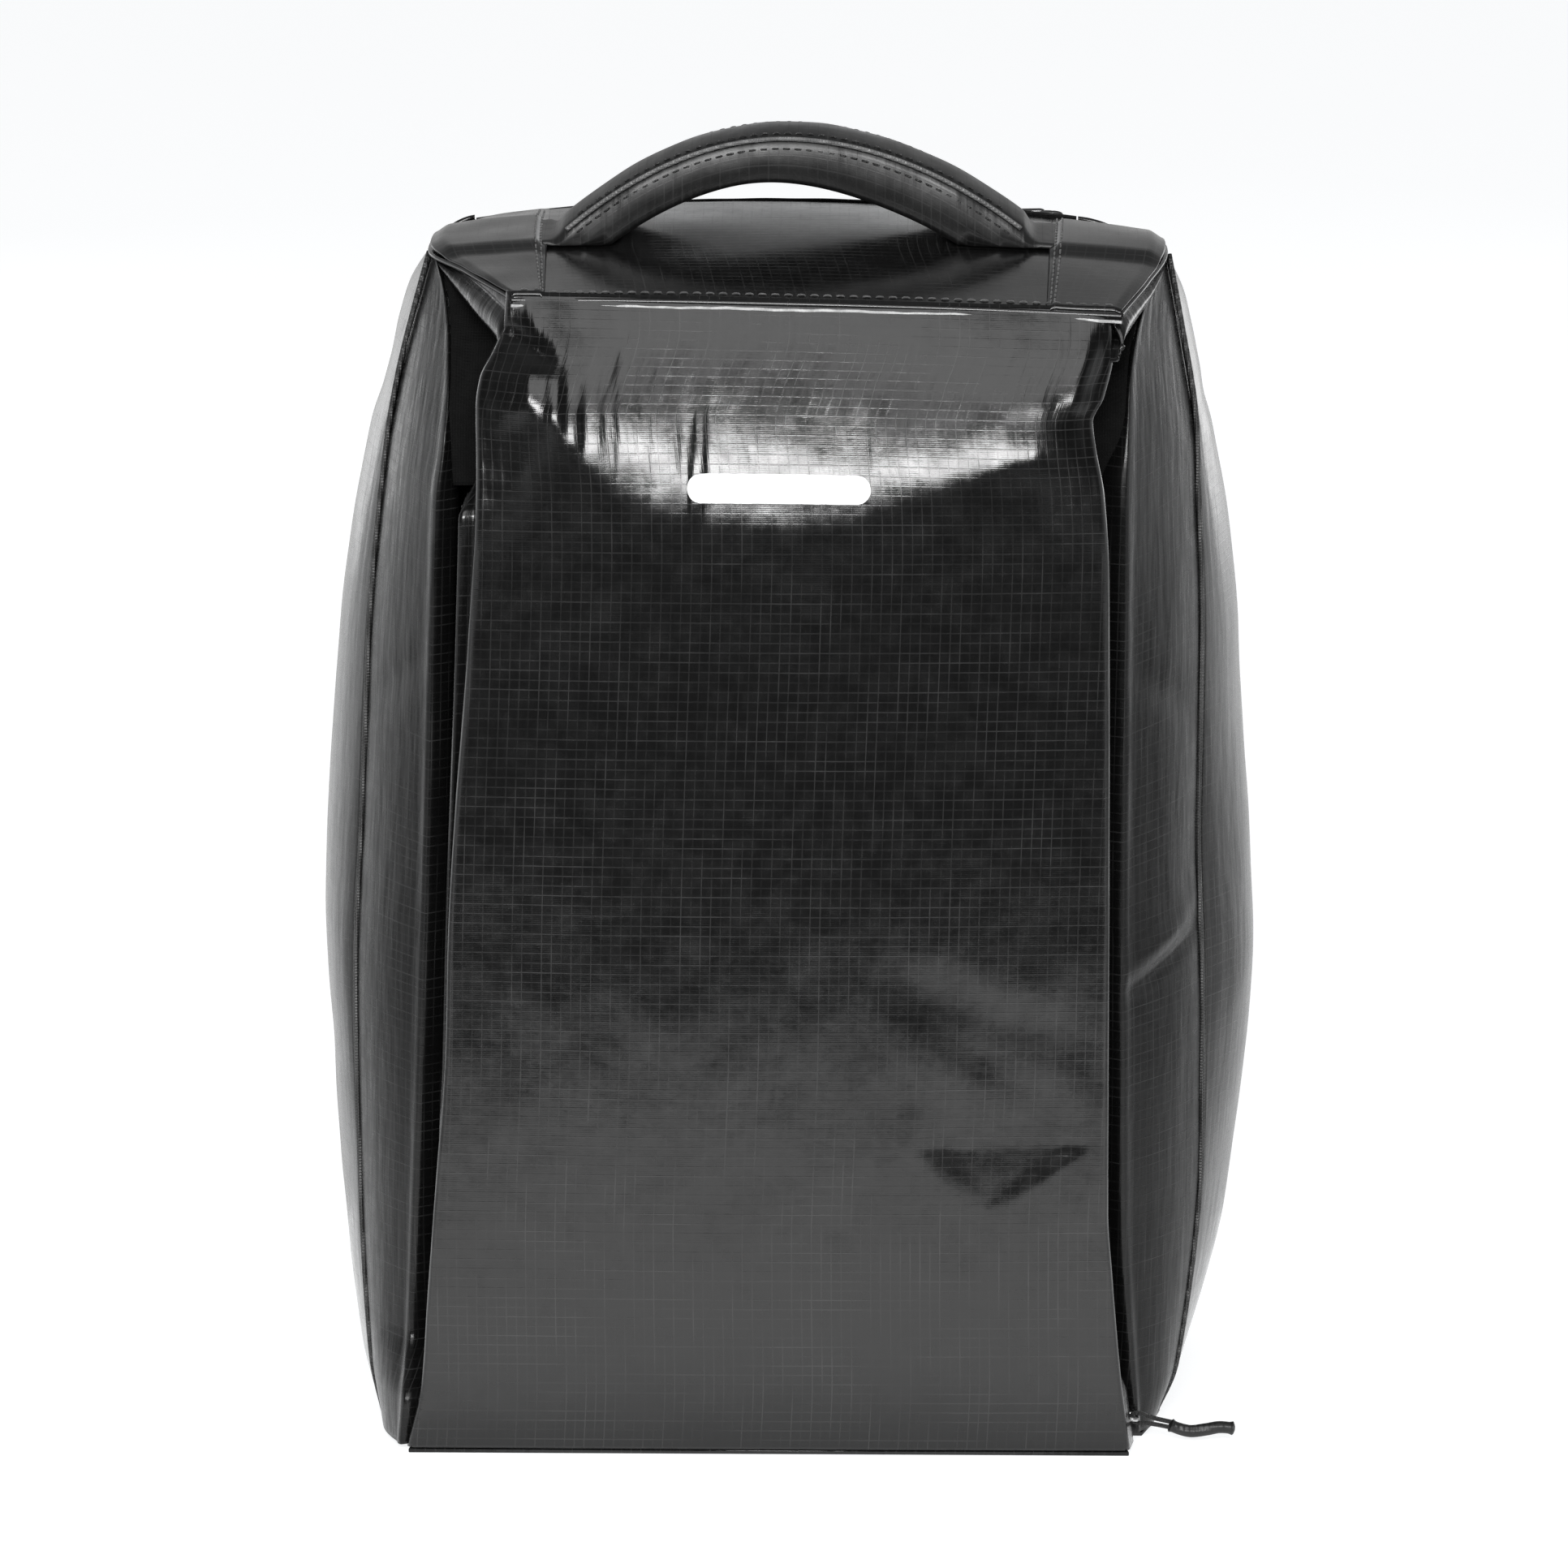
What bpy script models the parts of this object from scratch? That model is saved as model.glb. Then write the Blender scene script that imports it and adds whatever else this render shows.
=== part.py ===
"""Upright shoe bag of coated black fabric: panels, hidden side zips, rear zip pocket and padded handle.

Frame: +Z up, the front panel faces -Y, +X is the bag's right as seen from the front. The origin is the
centre of the underside. Units are metres.
"""

import math

import bmesh
import bpy
import numpy as np
from mathutils import Matrix, Vector

MM = 0.001
SIDES = (("left", -1), ("right", 1))

# Fabric
WALL = 1.4 * MM  # coated fabric with its backing and lining
GAP = 0.4 * MM  # between neighbouring pieces
PIPING_RADIUS = 0.9 * MM
SEAM_HALF_GAP = 1.25 * MM  # from a piped seam's line to the panels on both sides

# Body heights
BASE_THICKNESS = 1.2 * MM
PANEL_FOOT = 1.5 * MM
FRONT_SEAM_Z = 303 * MM
TOP_FRONT_Z = 306 * MM
TOP_RISE = 13 * MM  # from the front seam to the back edge, on the centre line
TOP_FRONT_DROOP = 1 * MM
TOP_BACK_DROOP = 6.2 * MM
TOP_FRONT_Y = -45 * MM
TOP_BACK_SUM = 362.6 * MM  # the top panel's back edge lies in the plane y + z = this
REAR_ZIP_SUM = 364.2 * MM  # and the rear zip lies in this one

# Stations up the body as fractions of its height, and the outline there
STATIONS = (0.0, 0.2, 0.43, 0.66, 0.84, 0.95, 1.0)
FRONT_EDGE_X = [v * MM for v in (94.5, 88.8, 86.3, 84.2, 82.2, 81.6, 81.5)]
FRONT_EDGE_Y = [v * MM for v in (-63.6, -64.0, -64.0, -63.6, -62.0, -52.0, -45.6)]
FRONT_BULGE = [v * MM for v in (0.6, 3.2, 4.4, 4.2, 3.0, 1.0, 0.2)]
LIP_X = [v * MM for v in (97.0, 92.5, 90.3, 88.4, 86.2, 83.4, 82.3)]
LIP_Y = [v * MM for v in (-46.0, -44.0, -43.6, -43.6, -45.0, -48.5, -44.2)]
SEAM_X = [v * MM for v in (103.5, 109.5, 112.0, 111.3, 107.5, 100.5, 96.6)]
SEAM_Y = [v * MM for v in (-20.0, -14.0, -12.0, -11.0, -8.0, -1.0, 6.0)]
BULGE_X = [v * MM for v in (3.0, 9.0, 14.0, 12.0, 8.5, 3.0, 0.3)]
CORNER_X = [v * MM for v in (104.0, 107.0, 109.0, 107.5, 103.0, 97.5, 94.8)]
CORNER_Y = [v * MM for v in (58.0, 62.0, 64.0, 64.0, 62.5, 58.5, 52.5)]
BACK_BULGE = [v * MM for v in (0.6, 3.3, 4.25, 4.0, 3.0, 1.4, 1.0)]
BACK_TOP_Z = 302.5 * MM
DIVIDER_THICKNESS = 1.8 * MM
POCKET_HALF = 86 * MM
POCKET_DEPTH = 7.5 * MM
POCKET_FOOT_Z = 34 * MM
POCKET_TOP_Z = 300 * MM
LIP_DEPTH = 7 * MM  # how far the folded edge of the front panel turns back beside a zip
ZIP_HEAD_W = 0.85  # above this the folded edge meets the side panel

# Zips
ZIP_FOOT = (86.5 * MM, -50 * MM, 2 * MM)
ZIP_HEAD_X = 79.0 * MM
ZIP_HEAD_Z = 254 * MM
REAR_ZIP_HALF = 81 * MM
REAR_ZIP_Y = 53.7 * MM
TAPE_THICKNESS = 0.6 * MM
TAPE_INNER = 3.1 * MM
TAPE_OUTER = 10.4 * MM
COIL_INNER = 0.65 * MM
COIL_OUTER = 2.8 * MM
COIL_THICKNESS = 2.0 * MM
SLIDER_LENGTH = 11 * MM
SLIDER_HALF_WIDTH = 4.2 * MM
SLIDER_INNER = 1.6 * MM
SLIDER_OUTER = 2.8 * MM
WEB_HALF = 0.35 * MM
BRIDGE_HALF_WIDTH = 0.8 * MM
BRIDGE_REACH = 5.5 * MM  # from the zip plane to the top of the bridge
PULL_AXIS = 3.7 * MM  # from the zip plane to the pull's hinge axis
LINK_RADIUS = 0.55 * MM
LINK_LENGTH = 8.0 * MM
LINK_HALF_WIDTH = 2.6 * MM
TAB_LENGTH = 16.0 * MM

# Where the sliders stand, measured along each zip from its start
RIGHT_SLIDER_AT = 6.3 * MM
LEFT_SLIDER_AT = 20.0 * MM
REAR_SLIDER_AT = 153.0 * MM
RIGHT_PULL_ANGLE = math.radians(103.7)  # from the zip's own direction towards outward
HANGING = math.radians(180)  # a pull lying flat along its zip, pointing back down it

# Handle
HANDLE_Y = 8 * MM
HANDLE_WIDTH = 26 * MM
HANDLE_THICKNESS = 8.4 * MM
HANDLE_TOP_Z = 343.6 * MM
HANDLE_DROP = 5.96  # drop of the arch at a distance x from the centre is this times x squared
HANDLE_HALF = 52 * MM  # the part that tips; the rest is sewn down
HANDLE_SLOT_X = 65 * MM
HANDLE_WALL = 1.2 * MM
TAIL_END_X = 80 * MM
TAIL_THICKNESS = 1.6 * MM

MARK_Z = 260.5 * MM
MARK_HALF = (23.5 * MM, 3.4 * MM)

MATERIALS = {
    # name: (colour, roughness, metallic)
    "coated_fabric": ((0.018, 0.019, 0.021), 0.30, 0.0),
    "lining": ((0.030, 0.030, 0.033), 0.80, 0.0),
    "piping": ((0.035, 0.036, 0.038), 0.40, 0.0),
    "tape": ((0.012, 0.012, 0.013), 0.85, 0.0),
    "coil": ((0.015, 0.015, 0.016), 0.45, 0.0),
    "metal": ((0.55, 0.55, 0.56), 0.25, 1.0),
    "cord": ((0.014, 0.014, 0.015), 0.80, 0.0),
    "sleeve": ((0.016, 0.016, 0.017), 0.50, 0.0),
    "foam": ((0.12, 0.12, 0.13), 0.95, 0.0),
    "board": ((0.05, 0.05, 0.055), 0.70, 0.0),
    "print": ((0.85, 0.85, 0.85), 0.55, 0.0),
}


# ---------------------------------------------------------------- scene and helpers


def clear_scene():
    for obj in list(bpy.data.objects):
        bpy.data.objects.remove(obj, do_unlink=True)


def make_collection(name):
    collection = bpy.data.collections.new(name)
    bpy.context.scene.collection.children.link(collection)
    return collection


def make_materials():
    made = {}
    for name, (colour, roughness, metallic) in MATERIALS.items():
        material = bpy.data.materials.new(name)
        material.use_nodes = True
        shader = material.node_tree.nodes["Principled BSDF"]
        shader.inputs["Base Color"].default_value = (*colour, 1.0)
        shader.inputs["Roughness"].default_value = roughness
        shader.inputs["Metallic"].default_value = metallic
        material.diffuse_color = (*colour, 1.0)
        made[name] = material
    return made


def add_object(name, data, material, matrix=None):
    obj = bpy.data.objects.new(name, data)
    data.materials.append(materials[material])
    parts.objects.link(obj)
    if matrix is not None:
        obj.matrix_world = matrix
    return obj


def add_bmesh(name, bm, material, matrix=None, smooth=True):
    mesh = bpy.data.meshes.new(name)
    bmesh.ops.recalc_face_normals(bm, faces=bm.faces)
    bm.to_mesh(mesh)
    bm.free()
    obj = add_object(name, mesh, material, matrix)
    if smooth:
        mesh.shade_smooth()
        mesh.set_sharp_from_angle(angle=math.radians(35))
    return obj


def along(values, w):
    """Smooth value at fraction w of the height, from the values at the stations."""
    s = np.array(STATIONS)
    v = np.array(values)
    slopes = np.gradient(v, s)
    i = int(np.clip(np.searchsorted(s, w) - 1, 0, len(s) - 2))
    h = s[i + 1] - s[i]
    t = (w - s[i]) / h
    return float(
        (2 * t**3 - 3 * t**2 + 1) * v[i]
        + (t**3 - 2 * t**2 + t) * h * slopes[i]
        + (3 * t**2 - 2 * t**3) * v[i + 1]
        + (t**3 - t**2) * h * slopes[i + 1]
    )


def steps(count, start=0.0, end=1.0):
    return [start + (end - start) * i / count for i in range(count + 1)]


def sheet(name, rows, material, outward, thickness=WALL, matrix=None):
    """A fabric panel: a grid of points on its outer face, thickened inwards."""
    bm = bmesh.new()
    grid = [[bm.verts.new(point) for point in row] for row in rows]
    for low, high in zip(grid, grid[1:]):
        for a, b, c, d in zip(low, low[1:], high[1:], high):
            bm.faces.new((a, b, c, d))
    bm.normal_update()
    facing = sum(f.normal.dot(outward(f.calc_center_median())) for f in bm.faces)
    if facing < 0:
        bmesh.ops.reverse_faces(bm, faces=bm.faces)
    mesh = bpy.data.meshes.new(name)
    bm.to_mesh(mesh)
    bm.free()
    mesh.shade_smooth()
    obj = add_object(name, mesh, material, matrix)
    shell = obj.modifiers.new("Thickness", "SOLIDIFY")
    shell.thickness = thickness
    shell.offset = -1
    shell.use_even_offset = True
    shell.use_quality_normals = True
    return obj


def from_axis(point):
    return Vector((point.x, point.y, 0))


def box(name, x, y, z, material, matrix=None, bevel=0.0):
    bm = bmesh.new()
    bmesh.ops.create_cube(bm, size=1)
    for vert in bm.verts:
        vert.co = [low + (high - low) * (c + 0.5) for c, (low, high) in zip(vert.co, (x, y, z))]
    obj = add_bmesh(name, bm, material, matrix, smooth=False)
    if bevel:
        edge = obj.modifiers.new("Edge", "BEVEL")
        edge.width = bevel
        edge.segments = 1
    return obj


def combine(target, tool, operation):
    """Adds a Boolean of the tool to the target, and hides the tool among the cutters."""
    parts.objects.unlink(tool)
    cutters.objects.link(tool)
    tool.hide_render = True
    tool.display_type = "WIRE"
    boolean = target.modifiers.new(tool.name, "BOOLEAN")
    boolean.operation = operation
    boolean.solver = "EXACT"
    boolean.object = tool


def fused(name, boxes, material, matrix):
    """Boxes joined into one body by Boolean unions."""
    first = box(name, *boxes[0], material, matrix)
    for number, size in enumerate(boxes[1:]):
        combine(first, box(f"{name}_tool_{number}", *size, material, matrix), "UNION")
    return first


def tube(name, points, radius, material, matrix=None, closed=False, resolution=1):
    curve = bpy.data.curves.new(name, "CURVE")
    curve.dimensions = "3D"
    curve.bevel_depth = radius
    curve.bevel_resolution = resolution
    curve.use_fill_caps = not closed
    spline = curve.splines.new("POLY")
    spline.points.add(len(points) - 1)
    for target, point in zip(spline.points, points):
        target.co = (*point, 1.0)
    spline.use_cyclic_u = closed
    spline.use_smooth = True
    return add_object(name, curve, material, matrix)


def loft(name, sections, material):
    """Rings of equally many points joined in order, with flat ends."""
    bm = bmesh.new()
    rings = [[bm.verts.new(point) for point in section] for section in sections]
    count = len(rings[0])
    for low, high in zip(rings, rings[1:]):
        for i in range(count):
            j = (i + 1) % count
            bm.faces.new((low[i], low[j], high[j], high[i]))
    bm.faces.new(rings[0])
    bm.faces.new(rings[-1])
    return add_bmesh(name, bm, material)


# ---------------------------------------------------------------- the body's outline


def front_y(x, w):
    """The front panel's outer face, which bulges between its folded edges."""
    edge = along(FRONT_EDGE_X, w)
    return along(FRONT_EDGE_Y, w) - along(FRONT_BULGE, w) * (1 - min(1.0, (x / edge) ** 2))


def top_point(u, v, lift=0.0):
    """The top panel, from its front seam (v = 0) to its back edge (v = 1); u runs across it."""
    end = top_end_point(v)
    z = TOP_FRONT_Z + TOP_RISE * v - (TOP_FRONT_DROOP + TOP_BACK_DROOP * v) * u * u
    back_z = TOP_FRONT_Z + TOP_RISE - (TOP_FRONT_DROOP + TOP_BACK_DROOP) * u * u
    back_y = TOP_BACK_SUM - back_z
    return Vector((u * end, TOP_FRONT_Y + (back_y - TOP_FRONT_Y) * v, z + lift))


def top_end_point(v):
    """Half-width of the top panel: it widens from the front seam to the side seams' heads."""
    head = (along(SEAM_Y, 1) - TOP_FRONT_Y) / (along(CORNER_Y, 1) - TOP_FRONT_Y)
    wide, back = along(SEAM_X, 1), along(CORNER_X, 1)
    front = along(FRONT_EDGE_X, 1)
    if v < head:
        return front + (wide - front) * v / head
    return wide + (back - wide) * (v - head) / (1 - head)


def end_height(y):
    """Height of the top panel's end edge at depth y."""
    low, high = top_point(1, 0), top_point(1, 1)
    v = (y - low.y) / (high.y - low.y)
    return low.z + (high.z - low.z) * min(1.0, max(0.0, v))


def zip_x(z):
    foot_x, _, foot_z = ZIP_FOOT
    return foot_x + (ZIP_HEAD_X - foot_x) * (z - foot_z) / (ZIP_HEAD_Z - foot_z)


# ---------------------------------------------------------------- panels


def front_panel():
    rows = []
    for w in steps(18):
        z = PANEL_FOOT + (FRONT_SEAM_Z - PANEL_FOOT) * w
        edge = along(FRONT_EDGE_X, w)
        back = along(FRONT_EDGE_Y, w) + LIP_DEPTH
        if w > ZIP_HEAD_W:
            back = along(LIP_Y, w) - 1.2 * MM
        row = [(-edge + 0.6 * MM, back, z)]
        row += [(x * edge, front_y(x * edge, w), z) for x in steps(12, -1, 1)]
        row += [(edge - 0.6 * MM, back, z)]
        rows.append(row)
    return sheet("front_panel", rows, "coated_fabric", from_axis)


def side_front_panel(name, side):
    """From the zip channel's rear wall, round its lip, out to the piped side seam."""
    rows = []
    for w in steps(18):
        lip = Vector((along(LIP_X, w), along(LIP_Y, w), 0))
        seam = Vector((along(SEAM_X, w), along(SEAM_Y, w), 0))
        z = PANEL_FOOT + (FRONT_SEAM_Z - PANEL_FOOT) * w
        inner_x = min(zip_x(z) + 1.8 * MM, lip.x - 1.2 * MM)
        close = max(0.0, w - 0.84) / 0.16
        inner = Vector((inner_x + close * (lip.x - inner_x - 1.0 * MM), lip.y + 4.2 * MM - close * 2.6 * MM, 0))
        reach = (seam - lip).length
        row = [inner, inner.lerp(lip, 0.55) + Vector((0.5 * MM, -0.6 * MM, 0))]
        for t in steps(5, 0, 1 - SEAM_HALF_GAP / reach):
            out = Vector((-(seam - lip).y, (seam - lip).x, 0)).normalized()
            bulge = -out * 2.2 * MM * math.sin(math.pi * t) * (1 - w**6)
            row.append(lip.lerp(seam, t) + bulge)
        placed = []
        for point in row:
            top = end_height(point.y) - WALL - GAP
            placed.append((side * point.x, point.y, PANEL_FOOT + (top - PANEL_FOOT) * w))
        rows.append(placed)
    return sheet(name, rows, "coated_fabric", from_axis)


def side_rear_panel(name, side):
    """From the piped side seam round the fullest part of the side to the back corner."""
    rows = []
    for w in steps(18):
        seam = Vector((along(SEAM_X, w), along(SEAM_Y, w), 0))
        corner = Vector((along(CORNER_X, w), along(CORNER_Y, w), 0))
        bulge = along(BULGE_X, w)
        row = []
        for t in steps(9, SEAM_HALF_GAP / (corner - seam).length, 1):
            point = seam.lerp(corner, t)
            point.x += bulge * math.sin(math.pi * t**0.85)
            top = end_height(point.y) - WALL - GAP
            row.append((side * point.x, point.y, PANEL_FOOT + (top - PANEL_FOOT) * w))
        rows.append(row)
    return sheet(name, rows, "coated_fabric", from_axis)


def back_panel():
    rows = []
    top_w = (BACK_TOP_Z - PANEL_FOOT) / (end_height(along(CORNER_Y, 1)) - PANEL_FOOT)
    for w in steps(18, 0, top_w):
        half = along(CORNER_X, w) - WALL - GAP
        z = PANEL_FOOT + (BACK_TOP_Z - PANEL_FOOT) * w / top_w
        y = along(CORNER_Y, w)
        bulge = along(BACK_BULGE, w)
        rows.append([(x * half, y + bulge * math.cos(0.5 * math.pi * x), z) for x in steps(12, -1, 1)])
    return sheet("back_panel", rows, "coated_fabric", from_axis)


def top_panel():
    rows = [[top_point(u, v) for u in steps(16, -1, 1)] for v in steps(10)]
    return sheet("top_panel", rows, "coated_fabric", lambda point: Vector((0, 0, 1)))


def patch_lift(y):
    """How far an end patch stands off the top panel: it clears the handle's tail under it."""
    off = abs(y - HANDLE_Y) - HANDLE_WIDTH / 2
    blend = min(1.0, max(0.0, 1 - off / (7 * MM)))
    blend = blend * blend * (3 - 2 * blend)
    return GAP + WALL * 0.7 + (TAIL_THICKNESS + GAP) * blend


def top_patch(name, side):
    """The end of the top, sewn over the handle's tail from the cross seam to the side seam."""
    rows = []
    for v in steps(18):
        end = top_end_point(v)
        start = (HANDLE_SLOT_X + 0.6 * MM) / end
        row = []
        for u in steps(5, start, 1 - 0.8 * MM / end):
            point = top_point(side * u, v)
            row.append(point + Vector((0, 0, patch_lift(point.y))))
        rows.append(row)
    return sheet(name, rows, "coated_fabric", lambda point: Vector((0, 0, 1)), thickness=WALL * 0.7)


def base_outline():
    """Corners of the underside, from the right front corner round to the left one.

    It is notched at the foot of each zip channel, so a pull can hang past it when the bag is lifted.
    """
    notch = [(x * MM, y * MM) for x, y in ((93.6, -56.8), (87.2, -56.8), (87.2, -44.0), (98.0, -46.0))]
    right = [(along(FRONT_EDGE_X, 0), along(FRONT_EDGE_Y, 0)), *notch]
    right += [(along(SEAM_X, 0), along(SEAM_Y, 0)), (106.3 * MM, 20 * MM)]
    right += [(along(CORNER_X, 0), along(CORNER_Y, 0))]
    return right + [(-x, y) for x, y in reversed(right)]


def board_outline():
    """The base board stays inside the walls and behind the zips."""
    right = [(x * MM, y * MM) for x, y in ((80, -60), (80, -36), (98, -26), (102, 20), (99.5, 54))]
    return right + [(-x, y) for x, y in reversed(right)]


def flat_plate(name, outline, low, high, material, matrix=None):
    bm = bmesh.new()
    rings = [[bm.verts.new((x, y, z)) for x, y in outline] for z in (low, high)]
    for ring in rings:
        bm.faces.new(ring)
    count = len(outline)
    for i in range(count):
        j = (i + 1) % count
        bm.faces.new((rings[0][i], rings[0][j], rings[1][j], rings[1][i]))
    return add_bmesh(name, bm, material, matrix, smooth=False)


def divider():
    """The padded wall between the two shoes, cut to the bag's inner side profile."""
    front = [(-60.5, 4.6), (-62, 130), (-61, 238), (-56, 266), (-43, 299)]
    back = [(37, 310), (41.5, 300), (46.5, 288), (51.2, 255), (51.5, 60), (54, 34), (54, 4.6)]
    profile = [(z * MM, y * MM) for y, z in front + back]
    on_edge = Matrix.Rotation(math.radians(-90), 4, "Y")  # local X up, local Z towards the bag's left
    return flat_plate("divider", profile, -DIVIDER_THICKNESS / 2, DIVIDER_THICKNESS / 2, "lining", on_edge)


def pocket_lining():
    """The rear pocket's inner wall, turned back to the back panel at its sides and foot."""
    rows = []
    half = POCKET_HALF
    for z in steps(9, POCKET_FOOT_Z, POCKET_TOP_Z):
        back = along(CORNER_Y, min(z / BACK_TOP_Z, 1.0)) - WALL
        depth = POCKET_DEPTH * min(1.0, (z - POCKET_FOOT_Z) / (14 * MM) + 0.12)
        row = [(-half, back - 0.8 * MM, z), (-half + 1 * MM, back - depth, z)]
        row += [(x * (half - 12 * MM), back - depth, z) for x in steps(4, -1, 1)]
        row += [(half - 1 * MM, back - depth, z), (half, back - 0.8 * MM, z)]
        rows.append(row)
    return sheet("pocket_lining", rows, "lining", from_axis, thickness=0.6 * MM)


def side_piping(name, side):
    points = []
    for w in steps(26, 0.004, 0.996):
        seam = Vector((along(SEAM_X, w), along(SEAM_Y, w), 0))
        top = end_height(seam.y)
        out = Vector((1, -0.45, 0)).normalized() * 0.25 * MM
        z = PANEL_FOOT + (top - PANEL_FOOT) * w
        points.append((side * (seam.x + out.x), seam.y + out.y, z))
    return tube(name, points, PIPING_RADIUS, "piping")


def arch_top(x):
    return HANDLE_TOP_Z - HANDLE_DROP * x * x


def arch_point(x, across, up):
    """A point of the handle's upright cross-section at x: across it, and up from its mid-thickness."""
    steepening = math.hypot(1, 2 * HANDLE_DROP * x)
    return Vector((x, HANDLE_Y + across, arch_top(x) + steepening * (up - HANDLE_THICKNESS / 2)))


def handle_ring(inset):
    """The handle's box section with its top corners cut for the piping, as (across, up) pairs."""
    wide, thick = HANDLE_WIDTH / 2 - inset, HANDLE_THICKNESS / 2 - inset
    low, high = 1.0 * MM, 1.9 * MM
    right = [(wide - low, -thick), (wide, low - thick), (wide, thick - high), (wide - high, thick)]
    return right + [(0, thick + 0.8 * MM)] + [(-a, b) for a, b in reversed(right)]


def handle():
    """The padded grip: an open-ended cover, the foam in it and the piping along both upper edges."""
    stations = steps(22, -HANDLE_HALF, HANDLE_HALF)

    def filled(name, inset, over, material):
        ring = handle_ring(inset)
        ends = [stations[0] - over, *stations[1:-1], stations[-1] + over]
        return loft(name, [[arch_point(x, *p) for p in ring] for x in ends], material)

    cover = filled("handle_cover", 0, 0, "coated_fabric")
    combine(cover, filled("handle_hollow", HANDLE_WALL, 1 * MM, "coated_fabric"), "DIFFERENCE")
    filled("handle_core", HANDLE_WALL + GAP, 0, "foam")
    for word, sign in (("front", -1), ("back", 1)):
        across = sign * (HANDLE_WIDTH / 2 - 0.1 * MM)
        points = [arch_point(x, across, HANDLE_THICKNESS / 2 - 0.1 * MM) for x in stations]
        tube(f"handle_piping_{word}", points, 0.75 * MM, "piping")


def handle_tail(name, side):
    """The handle's sewn end: it flattens from the grip's section to a tail under the end patch."""
    ring = handle_ring(0)
    sections = []
    for x in [HANDLE_HALF + 0.5 * MM + d * MM for d in (0, 2.5, 5, 7, 9, 11, 12.2)] + [70 * MM, 75 * MM, TAIL_END_X]:
        t = min(1.0, max(0.0, (x - HANDLE_HALF - 2 * MM) / (10.2 * MM)))
        flat = t * t * (3 - 2 * t)
        section = []
        for across, up in ring:
            arch = arch_point(x, across, up)
            share = 0.5 + up / HANDLE_THICKNESS
            floor = surface_height(x, HANDLE_Y + across) + GAP
            lying = floor + min(1.0, max(0.0, share)) * TAIL_THICKNESS
            z = max(arch.z * (1 - flat) + lying * flat, floor + max(0.0, share) * 0.8 * MM)
            narrow = 1 - 0.08 * flat
            section.append((side * x, HANDLE_Y + across * narrow, z))
        sections.append(section)
    return loft(name, sections, "coated_fabric")


def surface_height(x, y):
    """Height of the top panel's outer face over the point x, y."""
    v = (y - TOP_FRONT_Y) / (top_point(0, 1).y - TOP_FRONT_Y)
    for _ in range(6):
        u = x / top_end_point(v)
        v += (y - top_point(u, v).y) / (top_point(u, 1).y - TOP_FRONT_Y)
    return top_point(x / top_end_point(v), v).z


def print_mark():
    """A plain rounded bar printed on the front panel."""
    rows = []
    half_x, half_z = MARK_HALF
    for k in steps(3, -1, 1):
        z = MARK_Z + k * half_z
        w = (z - PANEL_FOOT) / (FRONT_SEAM_Z - PANEL_FOOT)
        reach = half_x - half_z * (1 - math.sqrt(1 - min(1.0, abs(k)) ** 2 * 0.96))
        rows.append([(x * reach, front_y(x * reach, w) - 0.55 * MM, z) for x in steps(8, -1, 1)])
    return sheet("print_mark", rows, "print", from_axis, thickness=0.2 * MM)


# ---------------------------------------------------------------- zips


def zip_frame(foot, along_zip, outward):
    """Local X runs up the zip, Z points out of it, and Y lies across it."""
    x = Vector(along_zip).normalized()
    z = Vector(outward)
    z = (z - x * z.dot(x)).normalized()
    y = z.cross(x)
    matrix = Matrix((x, y, z)).transposed().to_4x4()
    matrix.translation = Vector(foot)
    return matrix


def half_coil(name, across, length, frame):
    coil = sorted((across * COIL_INNER, across * COIL_OUTER))
    depth = COIL_THICKNESS / 2
    box(name, (0, length), coil, (-depth, depth), "coil", frame, bevel=0.5 * MM)


def half_tape(name, across, length, frame):
    tape = sorted((across * TAPE_INNER, across * TAPE_OUTER))
    half = TAPE_THICKNESS / 2
    box(name, (0, length), tape, (-half, half), "tape", frame)


def slider(name, frame, at):
    """Two plates with edge flanges, joined by the web that runs between the coils, and a bridge."""
    half, wide = SLIDER_LENGTH / 2, SLIDER_HALF_WIDTH
    lap = 0.2 * MM
    flange = 0.8 * MM
    ends = (-half, half)
    boxes = [(ends, (-wide, wide), (SLIDER_INNER, SLIDER_OUTER))]
    boxes += [(ends, (-wide, wide), (-SLIDER_OUTER, -SLIDER_INNER))]
    boxes += [((-half + 0.3 * MM, -half + 3.3 * MM), (-WEB_HALF, WEB_HALF), (-SLIDER_INNER - lap, SLIDER_INNER + lap))]
    for across in (-1, 1):
        y = sorted((across * (wide - 0.8 * MM), across * (wide - 0.05 * MM)))
        for level in (-1, 1):
            z = sorted((level * (SLIDER_INNER - flange), level * (SLIDER_INNER + lap)))
            boxes.append(((-half + 0.4 * MM, half - 0.4 * MM), y, z))
    bridge = (-BRIDGE_HALF_WIDTH, BRIDGE_HALF_WIDTH)
    boxes.append(((-3.6 * MM, 3.6 * MM), bridge, (BRIDGE_REACH - 0.9 * MM, BRIDGE_REACH)))
    for foot in (-3.6 * MM, 2.6 * MM):
        boxes.append(((foot, foot + 1 * MM), bridge, (SLIDER_OUTER - lap, BRIDGE_REACH - 0.5 * MM)))
    placed = frame @ Matrix.Translation((at, 0, 0))
    return fused(name, boxes, "metal", placed)


def pull_frame(frame, at, angle):
    """Local X runs along the pull from its hinge; angle is measured from the zip's own X towards outward."""
    return frame @ Matrix.Translation((at, 0, PULL_AXIS)) @ Matrix.Rotation(-angle, 4, "Y")


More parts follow.
